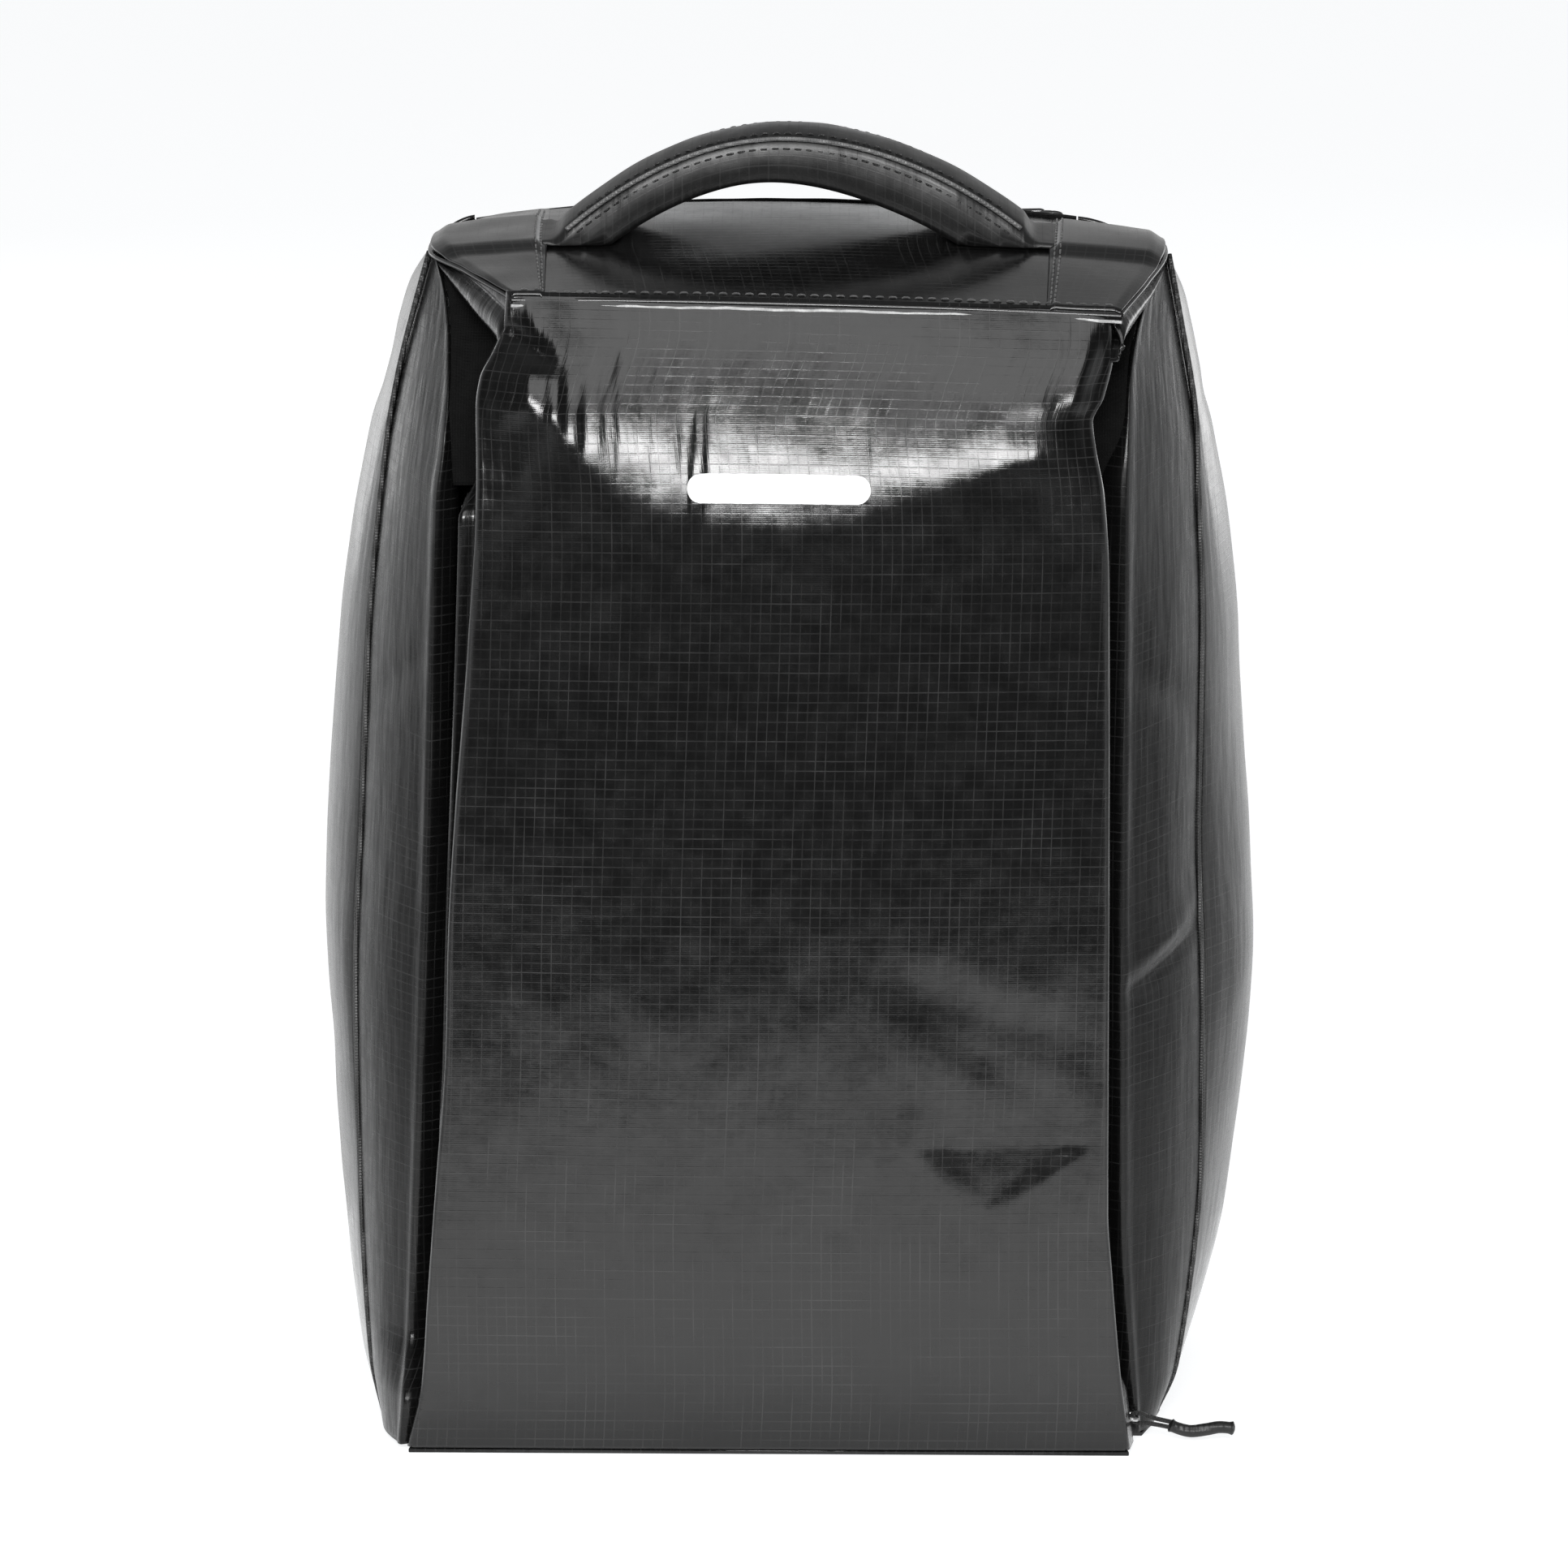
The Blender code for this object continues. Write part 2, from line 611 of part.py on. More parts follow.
def pull_link(name, frame, length, half_width):
    """A wire loop whose near bar passes under the bridge."""
    corner = 1.1 * MM
    points = []
    for cx, cy, start in (
        (length - corner, half_width - corner, 0),
        (corner, half_width - corner, 90),
        (corner, -half_width + corner, 180),
        (length - corner, -half_width + corner, 270),
    ):
        for turn in (0, 45, 90):
            a = math.radians(start + turn)
            points.append((cx + corner * math.cos(a), cy + corner * math.sin(a), 0))
    return tube(name, points, LINK_RADIUS, "metal", frame, closed=True)


def cord_pull(name, frame):
    """A cord looped round the link's far bar, and the sleeve over its two strands."""
    reach = LINK_LENGTH
    loop = 1.5 * MM
    points = [(reach + 7.0 * MM, 0, 0.75 * MM), (reach + 3.0 * MM, 0, loop)]
    for turn in (90, 135, 180, 225, 270):
        a = math.radians(turn)
        points.append((reach + loop * math.cos(a), 0, loop * math.sin(a)))
    points += [(reach + 3.0 * MM, 0, -loop), (reach + 7.0 * MM, 0, -0.75 * MM)]
    tube(f"{name}_cord", points, 0.6 * MM, "cord", frame, resolution=1)
    sleeve = [(reach + 7.4 * MM + d * MM, 0, 0) for d in (0, 5, 10, 14.6)]
    tube(f"{name}_sleeve", sleeve, 1.9 * MM, "sleeve", frame, resolution=3)


def arc(cx, cy, radius, start, end, count):
    turns = [math.radians(a) for a in steps(count, start, end)]
    return [(cx + radius * math.cos(a), cy + radius * math.sin(a)) for a in turns]


def tab_pull(name, frame):
    """A flat metal tab with an eye round the bridge."""
    bar = LINK_RADIUS
    wide, narrow = LINK_HALF_WIDTH + bar, 2.2 * MM
    outer = arc(1.2 * MM - bar, 0, 1.2 * MM, 270, 180, 3)
    outer = [(x, y - wide + 1.2 * MM) for x, y in outer]
    outer += [(x, -y) for x, y in reversed(outer)]
    outer += arc(TAB_LENGTH - narrow, 0, narrow, 75, -75, 8)
    eye = [(x, y) for x, y in arc(3.6 * MM, 0, wide - 2 * bar, 90, -90, 6)]
    eye += [(bar, -(wide - 2 * bar)), (bar, wide - 2 * bar)]
    curve = bpy.data.curves.new(name, "CURVE")
    curve.dimensions = "2D"
    curve.fill_mode = "BOTH"
    curve.extrude = LINK_RADIUS
    for outline in (outer, eye):
        spline = curve.splines.new("POLY")
        spline.points.add(len(outline) - 1)
        for target, point in zip(spline.points, outline):
            target.co = (*point, 0.0, 1.0)
        spline.use_cyclic_u = True
    return add_object(name, curve, "metal", frame)


def side_zip(side_word, side):
    foot_x, foot_y, foot_z = ZIP_FOOT
    head = Vector((side * ZIP_HEAD_X, foot_y, ZIP_HEAD_Z))
    foot = Vector((side * foot_x, foot_y, foot_z))
    frame = zip_frame(foot, head - foot, (side, 0, 0))
    length = (head - foot).length
    # local Y points to the back on the right-hand zip and to the front on the left-hand one
    to_front = -1 if (frame.to_3x3() @ Vector((0, 1, 0))).y > 0 else 1
    for name, across in (("front", to_front), ("rear", -to_front)):
        half_tape(f"zip_tape_{name}_{side_word}", across, length, frame)
        half_coil(f"zip_coil_{name}_{side_word}", across, length, frame)
    if side > 0:
        slider("zip_slider_right", frame, RIGHT_SLIDER_AT)
        pull = pull_frame(frame, RIGHT_SLIDER_AT, RIGHT_PULL_ANGLE)
        pull_link("pull_right_link", pull, LINK_LENGTH, LINK_HALF_WIDTH)
        cord_pull("pull_right", pull)
    else:
        slider("zip_slider_left", frame, LEFT_SLIDER_AT)
        tab_pull("pull_left", pull_frame(frame, LEFT_SLIDER_AT, HANGING))


def rear_zip():
    foot = Vector((-REAR_ZIP_HALF, REAR_ZIP_Y, REAR_ZIP_SUM - REAR_ZIP_Y))
    frame = zip_frame(foot, (1, 0, 0), (0, 1, 1))
    length = 2 * REAR_ZIP_HALF
    half_tape("zip_tape_rear_lower", 1, length, frame)
    half_coil("zip_coil_rear_lower", 1, length, frame)
    half_coil("zip_coil_rear_upper", -1, length, frame)
    rear_upper_tape(frame, length)
    for word, sign in SIDES:
        zip_end_tab(f"zip_end_tab_{word}", sign, frame)
    slider("zip_slider_rear", frame, REAR_SLIDER_AT)
    tab_pull("pull_rear", pull_frame(frame, REAR_SLIDER_AT, HANGING))


def zip_end_tab(name, side, frame):
    """A square of fabric that closes the end of the rear zip."""
    inner, outer = 0.4 * MM, 11.5 * MM
    start = REAR_ZIP_HALF + side * REAR_ZIP_HALF
    outline = [(inner, -4.3 * MM), (outer, -3.0 * MM), (outer, 8.4 * MM), (inner, TAPE_OUTER)]
    flat_plate(name, [(start + side * x, y) for x, y in outline], -0.6 * MM, 0.6 * MM, "coated_fabric", frame)


def rear_upper_tape(frame, length):
    """Its outer edge follows the back edge of the top panel, which is higher in the middle."""
    to_local = frame.inverted()
    outline = [(length, -TAPE_INNER), (0, -TAPE_INNER)]
    for at in steps(12, 0, length):
        edge = to_local @ top_point((at - REAR_ZIP_HALF) / top_end_point(1), 1)
        outline.append((at, min(-TAPE_INNER - 0.2 * MM, edge.y + 0.9 * MM)))
    half = TAPE_THICKNESS / 2
    flat_plate("zip_tape_rear_upper", outline, -half, half, "tape", frame)


# ---------------------------------------------------------------- build

clear_scene()
parts = make_collection("shoe_bag")
cutters = make_collection("cutters")
materials = make_materials()

front_panel()
back_panel()
top_panel()
for word, sign in SIDES:
    side_front_panel(f"side_front_{word}", sign)
    side_rear_panel(f"side_rear_{word}", sign)
    side_piping(f"seam_piping_{word}", sign)
    top_patch(f"top_patch_{word}", sign)
    handle_tail(f"handle_tail_{word}", sign)
    side_zip(word, sign)
flat_plate("base_panel", base_outline(), 0, BASE_THICKNESS, "coated_fabric")
flat_plate("base_board", board_outline(), 1.8 * MM, 4.0 * MM, "board")
divider()
pocket_lining()
print_mark()
rear_zip()
handle()
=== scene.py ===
"""Looks of the shoe bag: creased ripstop panels, piped and stitched seams, zips, pulls and the padded handle.

Frame as in the CAD model: +Z up, the front panel faces -Y, +X is the bag's right as seen from the front.
Units are metres. The bag leans a little to +X, as the real one does under its own softness.
"""

import math

import bmesh
import bpy
import numpy as np
from mathutils import Matrix, Vector


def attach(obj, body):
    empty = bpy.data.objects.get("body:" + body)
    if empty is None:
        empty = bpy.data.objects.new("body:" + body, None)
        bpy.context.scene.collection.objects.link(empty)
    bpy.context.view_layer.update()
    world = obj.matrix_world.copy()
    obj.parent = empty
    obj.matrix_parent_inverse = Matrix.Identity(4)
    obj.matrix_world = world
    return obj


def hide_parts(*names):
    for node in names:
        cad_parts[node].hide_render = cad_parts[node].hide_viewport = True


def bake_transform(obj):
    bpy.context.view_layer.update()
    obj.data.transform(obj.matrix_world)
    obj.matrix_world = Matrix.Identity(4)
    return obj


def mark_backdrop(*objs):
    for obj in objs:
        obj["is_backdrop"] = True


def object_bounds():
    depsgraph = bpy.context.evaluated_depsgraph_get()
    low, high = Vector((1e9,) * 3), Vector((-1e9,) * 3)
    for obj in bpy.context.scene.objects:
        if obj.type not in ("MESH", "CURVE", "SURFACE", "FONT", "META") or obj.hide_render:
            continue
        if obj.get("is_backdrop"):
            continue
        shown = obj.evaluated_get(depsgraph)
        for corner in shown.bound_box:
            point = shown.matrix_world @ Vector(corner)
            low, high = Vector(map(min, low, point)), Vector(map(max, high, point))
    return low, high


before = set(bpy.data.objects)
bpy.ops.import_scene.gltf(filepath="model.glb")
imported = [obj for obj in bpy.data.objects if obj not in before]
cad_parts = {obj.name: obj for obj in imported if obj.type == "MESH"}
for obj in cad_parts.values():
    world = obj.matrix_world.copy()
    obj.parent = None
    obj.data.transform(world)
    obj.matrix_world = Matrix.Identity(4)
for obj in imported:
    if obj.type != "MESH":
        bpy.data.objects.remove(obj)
cad_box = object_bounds()

MM = 0.001
LEFT, RIGHT = -1, 1
SIDES = (("left", LEFT), ("right", RIGHT))
LEAN = math.tan(math.radians(1.25))  # towards +X, for each metre of height

# Cloth
CLOTH = 1.1 * MM
GRID_PITCH = 2.6 * MM  # between the ripstop's thick threads
FINE_PITCH = 0.52 * MM  # between the fine ones
FOOT = 1.5 * MM
LIP_TURN = 2.2 * MM  # how roundly the front's edges turn back
NARROWEST_SHEET = 10 * MM
QUILT_PITCH = 34 * MM

# Zips, as in the CAD model
ZIP_FOOT_X, ZIP_HEAD_X = 86.5 * MM, 79.0 * MM
ZIP_Y = -50 * MM
ZIP_FOOT_Z, ZIP_HEAD_Z = 2 * MM, 254 * MM
REAR_ZIP_HALF = 81 * MM
REAR_ZIP_CENTRE = (0.0, 53.7 * MM, 310.5 * MM)
TOOTH_PITCH = 1.5 * MM
TAPE_HALF = 10.4 * MM
PULL_AXIS = 3.7 * MM
SLIDER_AT = {"right": 6.3 * MM, "left": 20 * MM, "rear": 153 * MM}  # along each zip
CORD_PULL_ANGLE = math.radians(103.7)  # it lies almost on the floor

# Handle
HANDLE_Y = 8 * MM
HANDLE_WIDTH = 26 * MM
HANDLE_THICKNESS = 12.1 * MM
HANDLE_TOP_Z = 343.6 * MM
HANDLE_DROP = 5.96  # drop of the arch at a distance x from its middle is this times x squared
TAIL_END_X = 80 * MM

# Top
TOP_FRONT_Z = 306 * MM
TOP_RISE = 13 * MM
TOP_FRONT_DROOP = 1 * MM
TOP_BACK_DROOP = 6.2 * MM
TOP_FRONT_Y = -45 * MM
TOP_BACK_SUM = 362.6 * MM


# ---- curves and surfaces


def mm(*values):
    return np.array(values) * MM


def through(xs, ys):
    """A smooth function of one number through points in millimetres, which neither overshoots nor rings."""
    xs, ys = mm(*xs), mm(*ys)
    gap = np.diff(xs)
    slope = np.diff(ys) / gap
    tangent = np.zeros(len(xs))
    tangent[0], tangent[-1] = slope[0], slope[-1]
    for i in range(1, len(xs) - 1):
        if slope[i - 1] * slope[i] > 0:
            tangent[i] = 2 * slope[i - 1] * slope[i] / (slope[i - 1] + slope[i])

    def value(x):
        x = np.clip(np.asarray(x, float), xs[0], xs[-1])
        i = np.clip(np.searchsorted(xs, x) - 1, 0, len(gap) - 1)
        t = (x - xs[i]) / gap[i]
        a = (2 * t**3 - 3 * t**2 + 1) * ys[i] + (t**3 - 2 * t**2 + t) * gap[i] * tangent[i]
        return a + (3 * t**2 - 2 * t**3) * ys[i + 1] + (t**3 - t**2) * gap[i] * tangent[i + 1]

    return value


def ease(x, low=0.0, high=1.0):
    """0 below low, 1 above high, smooth between."""
    t = np.clip((np.asarray(x, float) - low) / (high - low), 0, 1)
    return t * t * (3 - 2 * t)


def arc(t):
    """Half a wave: 0 at 0 and at 1, and 1 in between."""
    return np.sin(np.pi * t)


def bump(x, centre, width):
    return np.exp(-(((np.asarray(x, float) - centre) / width) ** 2))


def crease(x, z, start, end, width, depth):
    """A soft valley along a line on a panel, given in millimetres, deepest at its middle."""
    a, b = np.array(start) * MM, np.array(end) * MM
    d = b - a
    t = ((x - a[0]) * d[0] + (z - a[1]) * d[1]) / (d @ d)
    inside = np.clip(t, 0, 1)
    off = np.hypot(x - a[0] - inside * d[0], z - a[1] - inside * d[1])
    return depth * MM * np.exp(-((off / (width * MM)) ** 2)) * arc(np.clip(t, 0.02, 0.98)) ** 0.6


def waves(a, b, seed, scale):
    """Slow irregular waves between -1 and 1 over two lengths in metres."""
    rng = np.random.default_rng(seed)
    total = np.zeros(np.broadcast(a, b).shape)
    for _ in range(7):
        angle = rng.uniform(0, math.pi)
        rate = 2 * math.pi / (scale * rng.uniform(0.6, 1.7))
        total = total + np.sin(rate * (a * math.cos(angle) + b * math.sin(angle)) + rng.uniform(0, 6.3))
    return total / 7


# The outline in plan, at heights in millimetres. Front edges and lips differ from side to side with the lean.
EDGE_X = {
    LEFT: through((0, 20, 42, 75, 108, 141, 174, 217, 262, 278, 285, 291.5, 298, 306),
                  (-96.2, -91.8, -90.2, -87.6, -85, -84, -81.9, -78.4, -76, -76.2, -75.2, -71.8, -69.2, -68.6)),
    RIGHT: through((0, 21, 50, 66, 153, 235, 258, 270, 277, 283, 295, 306),
                   (96.0, 93.2, 90.6, 89.5, 89.2, 88.6, 87.2, 85.0, 84.2, 87.0, 89.6, 88.6)),
}
EDGE_Y = through((0, 60, 130, 200, 240, 262, 282, 296, 306),
                 (-63.6, -64, -64, -63.6, -62.6, -59.5, -53.0, -47.6, -45))
FRONT_BULGE = through((0, 60, 130, 200, 255, 288, 306), (0.4, 2.6, 3.9, 3.6, 2.4, 1.0, 0.2))
LIP_X = {
    LEFT: through((0, 18, 62, 168, 255, 270, 282, 292, 301, 309),
                  (-97.0, -95.4, -93.3, -89.3, -86.6, -84.8, -84.0, -84.4, -86.0, -89.4)),
    RIGHT: through((0, 18, 62, 168, 258, 275, 288, 297, 305, 309),
                   (97.2, 95.6, 92.8, 92.2, 92.6, 93.2, 93.8, 95.6, 99.6, 102.4)),
}
LIP_Y = {
    LEFT: through((0, 12, 19, 27, 62, 168, 255, 270, 282, 292, 301, 309),
                  (-60.8, -60.4, -53, -46, -44, -44, -45, -43.5, -37, -27, -13, 2)),
    RIGHT: through((0, 62, 168, 255, 266, 286, 296, 303, 309), (-46, -44, -44, -45, -44, -37.4, -28, -15, 2)),
}
SEAM_X = through((0, 14, 62, 134, 206, 262, 294, 310), (101.2, 105.2, 109.5, 112, 111.3, 107.5, 100.5, 96.6))
SEAM_Y = through((0, 14, 62, 134, 206, 262, 294, 310), (-31, -24, -14, -12, -11, -8, -1, 6))
BULGE = through((0, 62, 134, 206, 262, 294, 310), (3.0, 9.0, 14.0, 12.0, 8.5, 3.0, 0.3))
CORNER_X = through((0, 62, 134, 206, 262, 294, 312), (104, 107, 109, 107.5, 103, 97.5, 94.8))
CORNER_Y = through((0, 62, 134, 206, 262, 294, 312), (58, 62, 64, 64, 62.5, 58.5, 52.5))
BACK_BULGE = through((0, 62, 134, 206, 262, 294, 312), (0.6, 3.3, 4.2, 4.0, 3.0, 1.4, 1.0))
# The stuffing pushes the sides out of true: how far each seam and each side's fullest line stand off it
SEAM_OUT = {
    LEFT: through((0, 40, 120, 165, 265, 290, 310), (2.3, 2.3, 1.9, 0.7, 0.0, 1.0, 0.9)),
    RIGHT: through((0, 12, 55, 100, 165, 240, 290, 310), (0.8, 3.0, 4.0, 1.5, -2.1, -1.8, 0.5, 1.1)),
}
LIMB_OUT = {
    LEFT: through((0, 27, 50, 71, 100, 270, 280, 292, 300, 312), (3.4, 3, 2.2, 1.5, 0.2, -0.4, 0.7, 3, 3.6, 1.2)),
    RIGHT: through((0, 10, 27, 49, 71, 93, 115, 137, 160, 200, 270, 280, 291, 300, 312),
                   (2.0, 2.6, 4.5, 6.0, 5.4, 4.1, 2.6, 0.7, -0.7, -2.0, -2.3, -0.6, 1.3, 2.2, 1.0)),
}
# Where the front breaks from upright to sloping, at distances across it
BREAK_Z = through((-75, -58, -48, -36, -18, 4, 24, 44, 64, 84),
                  (287, 284, 272, 263, 257, 255, 259, 266, 273, 280))


def zip_x(z):
    return ZIP_FOOT_X + (ZIP_HEAD_X - ZIP_FOOT_X) * (z - ZIP_FOOT_Z) / (ZIP_HEAD_Z - ZIP_FOOT_Z)


END_X = {
    LEFT: through((0, 250, 520, 800, 1000), (-67.6, -80.5, -91.5, -90.3, -86.0)),
    RIGHT: through((0, 250, 520, 800, 1000), (92.0, 99.4, 104.6, 103.4, 98.6)),
}
END_TILT = through((0, 300, 520, 800, 1000), (1.9, 0.9, 0.2, 0.9, 1.5))


def top_surface(u, v):
    """The top's outer face: u from -1 to 1 across it, v from 0 at the front seam to 1 at the back edge."""
    u, v = np.broadcast_arrays(np.asarray(u, float), np.asarray(v, float))
    left, right = END_X[LEFT](v), END_X[RIGHT](v)
    x = (left + right) / 2 + u * (right - left) / 2
    rise = v + 0.24 * arc(v)
    z = TOP_FRONT_Z + TOP_RISE * rise - (TOP_FRONT_DROOP + TOP_BACK_DROOP * v) * u * u
    z = z - 2.6 * MM * ease(v, 0.55, 1) * np.abs(u) ** 9
    back_z = TOP_FRONT_Z + TOP_RISE - (TOP_FRONT_DROOP + TOP_BACK_DROOP) * u * u
    y = TOP_FRONT_Y + (TOP_BACK_SUM - back_z - TOP_FRONT_Y) * v
    sag = 0.5 * MM * bump(v, 0.35, 0.3) * bump(u, -0.1, 0.45)
    ripple = 0.45 * MM * waves(x, y, 5, 55 * MM) * arc(np.clip(v, 0, 1))
    return np.stack([x, y, z - sag + ripple - u * END_TILT(v)], -1)


def top_u(x, v):
    """How far across the top a point is, from -1 to 1."""
    left, right = END_X[LEFT](v), END_X[RIGHT](v)
    return (2 * x - left - right) / (right - left)


def top_height(x, y):
    """Height of the top's outer face over a point."""
    v = (y - TOP_FRONT_Y) / (88 * MM)
    for _ in range(8):
        u = np.clip(top_u(x, v), -1, 1)
        v = np.clip(v + (y - top_surface(u, v)[..., 1]) / (90 * MM), 0, 1)
    return top_surface(u, v)[..., 2]


def end_height(side, y):
    """Height of the top's end edges at depth y."""
    edge = top_surface(float(side), np.linspace(0, 1, 41))
    return np.interp(y, edge[:, 1], edge[:, 2])


# ---- meshes


def lengths(points, axis):
    step = np.linalg.norm(np.diff(points, axis=axis), axis=-1)
    start = np.zeros_like(np.take(step, [0], axis=axis))
    return np.concatenate([start, np.cumsum(step, axis=axis)], axis=axis)


def run_along(points):
    """How far along a line each of its points is."""
    return np.concatenate([[0], np.cumsum(np.linalg.norm(np.diff(points, axis=0), axis=1))])


def circle(sides):
    turns = np.linspace(0, 2 * math.pi, sides + 1)[:-1]
    return np.stack([np.cos(turns), np.sin(turns)], -1)


def add_mesh(name, vertices, faces, material, smooth=True):
    mesh = bpy.data.meshes.new(name)
    mesh.from_pydata([tuple(v) for v in np.asarray(vertices, float)], [], [tuple(f) for f in faces])
    mesh.materials.append(material)
    if smooth:
        mesh.shade_smooth()
    obj = bpy.data.objects.new(name, mesh)
    bpy.context.scene.collection.objects.link(obj)
    return obj


def grid_faces(rows, columns, flip=False, closed=False):
    last = columns if closed else columns - 1
    faces = []
    for r in range(rows - 1):
        for c in range(last):
            d = (c + 1) % columns
            quad = (r * columns + c, r * columns + d, (r + 1) * columns + d, (r + 1) * columns + c)
            faces.append(quad[::-1] if flip else quad)
    return faces


def capped_faces(rows, columns):
    """A closed tube of rings, with a face over each end."""
    ends = [tuple(range(columns))[::-1], tuple((rows - 1) * columns + i for i in range(columns))]
    return grid_faces(rows, columns, closed=True) + ends


def panel(name, points, material, outward, thickness=CLOTH):
    """A cloth panel from a (rows, columns, 3) grid on its outer face, with its threads along the grid."""
    points = np.asarray(points, float)
    rows, columns = points.shape[:2]
    a = points[1:, :-1] - points[:-1, :-1]
    b = points[:-1, 1:] - points[:-1, :-1]
    facing = np.sum(np.cross(b, a) * outward(points[:-1, :-1]))
    obj = add_mesh(name, points.reshape(-1, 3), grid_faces(rows, columns, flip=facing < 0), material)
    across = lengths(points, 1)
    across = across - across[:, columns // 2 : columns // 2 + 1]
    set_uv(obj, across, lengths(points, 0).mean(1, keepdims=True))
    if thickness:
        shell = obj.modifiers.new("Cloth", "SOLIDIFY")
        shell.thickness = thickness
        shell.offset = -1
    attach(obj, "root")
    return obj


def set_uv(obj, across, along):
    """The cloth's own coordinates, in metres."""
    uv = np.stack(np.broadcast_arrays(across, along), -1).reshape(-1, 2)
    layer = obj.data.uv_layers.new(name="weave")
    index = np.zeros(len(obj.data.loops), np.int32)
    obj.data.loops.foreach_get("vertex_index", index)
    layer.data.foreach_set("uv", np.asarray(uv, np.float32)[index].ravel())


def from_axis(points):
    return points * np.array([1.0, 1.0, 0.0])


def toward(*direction):
    return lambda points: np.broadcast_to(direction, points.shape)


def spline(knots, count):
    """Points along a smooth curve through the knots, evenly spaced."""
    knots = np.asarray(knots, float)
    padded = np.vstack([2 * knots[0] - knots[1], knots, 2 * knots[-1] - knots[-2]])
    fine = []
    for i in range(len(knots) - 1):
        p0, p1, p2, p3 = padded[i : i + 4]
        for t in np.linspace(0, 1, 12, endpoint=False):
            fine.append(0.5 * (2 * p1 + (p2 - p0) * t + (2 * p0 - 5 * p1 + 4 * p2 - p3) * t**2
                               + (3 * p1 - p0 - 3 * p2 + p3) * t**3))
    fine = np.array(fine + [knots[-1]])
    run = run_along(fine)
    at = np.linspace(0, run[-1], count)
    return np.stack([np.interp(at, run, fine[:, k]) for k in range(fine.shape[1])], -1)


def carried(path, section, closed_path=False):
    """A section, as (across, up) pairs, carried along a path without twisting: one ring for each point."""
    ahead = np.gradient(path, axis=0)
    if closed_path:
        ahead = np.roll(path, -1, axis=0) - np.roll(path, 1, axis=0)
    ahead /= np.linalg.norm(ahead, axis=1, keepdims=True)
    side = np.cross(ahead[0], (0, 0, 1.0) if abs(ahead[0][2]) < 0.9 else (0, 1.0, 0))
    rings = []
    for point, along in zip(path, ahead):
        side = side - along * (side @ along)
        side /= np.linalg.norm(side)
        rings.append(point + section[:, :1] * side + section[:, 1:] * np.cross(side, along))
    return np.array(rings + rings[:1] if closed_path else rings)


def sweep(name, path, radius, material, body="root", closed_path=False):
    """A round cord or wire along a path."""
    section = radius * circle(12)
    grid = carried(path, section, closed_path)
    rows, columns = grid.shape[:2]
    faces = grid_faces(rows, columns, closed=True) if closed_path else capped_faces(rows, columns)
    obj = add_mesh(name, grid.reshape(-1, 3), faces, material)
    if closed_path:
        weld(obj)
    else:
        set_uv(obj, run_along(section), lengths(grid.mean(1, keepdims=True), 0))
    repair_normals(obj)
    if body:
        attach(obj, body)
    return obj


def mend(obj, operation):
    bm = bmesh.new()
    bm.from_mesh(obj.data)
    operation(bm)
    bm.to_mesh(obj.data)
    bm.free()


def weld(obj):
    mend(obj, lambda bm: bmesh.ops.remove_doubles(bm, verts=bm.verts, dist=1e-6))


def repair_normals(obj):
    mend(obj, lambda bm: bmesh.ops.recalc_face_normals(bm, faces=bm.faces))


def join_meshes(name, chunks, material, body="root"):
    """One object from several (vertices, faces) lists."""
    vertices, faces, start = [], [], 0
    for points, polygons in chunks:
        vertices.append(points)
        faces += [tuple(start + i for i in f) for f in polygons]
        start += len(points)
    obj = add_mesh(name, np.concatenate(vertices), faces, material)
    repair_normals(obj)
    if body:
        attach(obj, body)
    return obj


# ---- materials


class Nodes:
    """Small helper for building a procedural material, or a world."""

    def __init__(self, owner, shader="Principled BSDF"):
        owner.use_nodes = True
        self.owner, self.tree = owner, owner.node_tree
        self.shader = self.tree.nodes[shader]

    def put(self, socket, value):
        if isinstance(value, bpy.types.NodeSocket):
            self.tree.links.new(value, socket)
        else:
            socket.default_value = value

    def add(self, kind, *values, **named):
        """A new node, with its inputs set in their order or by name."""
        node = self.tree.nodes.new(f"ShaderNode{kind}")
        for key, value in [*enumerate(values), *named.items()]:
            self.put(node.inputs[key], value)
        return node

    def math(self, operation, a, b=0.0):
        node = self.add("Math", a, b)
        node.operation = operation
        return node.outputs[0]

    def times(self, a, b):
        return self.math("MULTIPLY", a, b)

    def remap(self, value, low, high, to_low=0.0, to_high=1.0):
        node = self.add("MapRange", value, low, high, to_low, to_high)
        node.interpolation_type = "SMOOTHSTEP"
        return node.outputs[0]

    def mix(self, share, a, b):
        node = self.add("Mix")
        node.data_type = "RGBA"
        for index, value in ((0, share), (6, a), (7, b)):
            self.put(node.inputs[index], value)
        return node.outputs[2]

    def noise(self, vector, scale, detail=3.0):
        return self.add("TexNoise", Vector=vector, Scale=scale, Detail=detail).outputs[0]

    def place(self, kind="TexCoord", output="Object"):
        return self.add(kind).outputs[output]

    def split(self, vector):
        return self.add("SeparateXYZ", vector).outputs

    def stretch(self, vector, *scale):
        return self.add("Mapping", Vector=vector, Scale=scale).outputs[0]

    def ribs(self, coordinate, pitch):
        return self.math("SINE", self.times(coordinate, 2 * math.pi / pitch))

    def bump(self, height, distance, under=None):
        node = self.add("Bump", Height=height, Distance=distance)
        if under is not None:
            self.put(node.inputs["Normal"], under)
        return node.outputs[0]

    def finish(self, colour, roughness, normal=None, **constants):
        for key, value in (("Base Color", colour), ("Roughness", roughness), ("Normal", normal)):
            if value is not None:
                self.put(self.shader.inputs[key], value)
        for key, value in constants.items():
            self.shader.inputs[key.replace("_", " ")].default_value = value
        return self.owner


def grey(value, warmth=0.0):
    return (value * (1 + warmth), value, value * (1 - warmth), 1.0)


def new_nodes(name):
    return Nodes(bpy.data.materials.new(name))


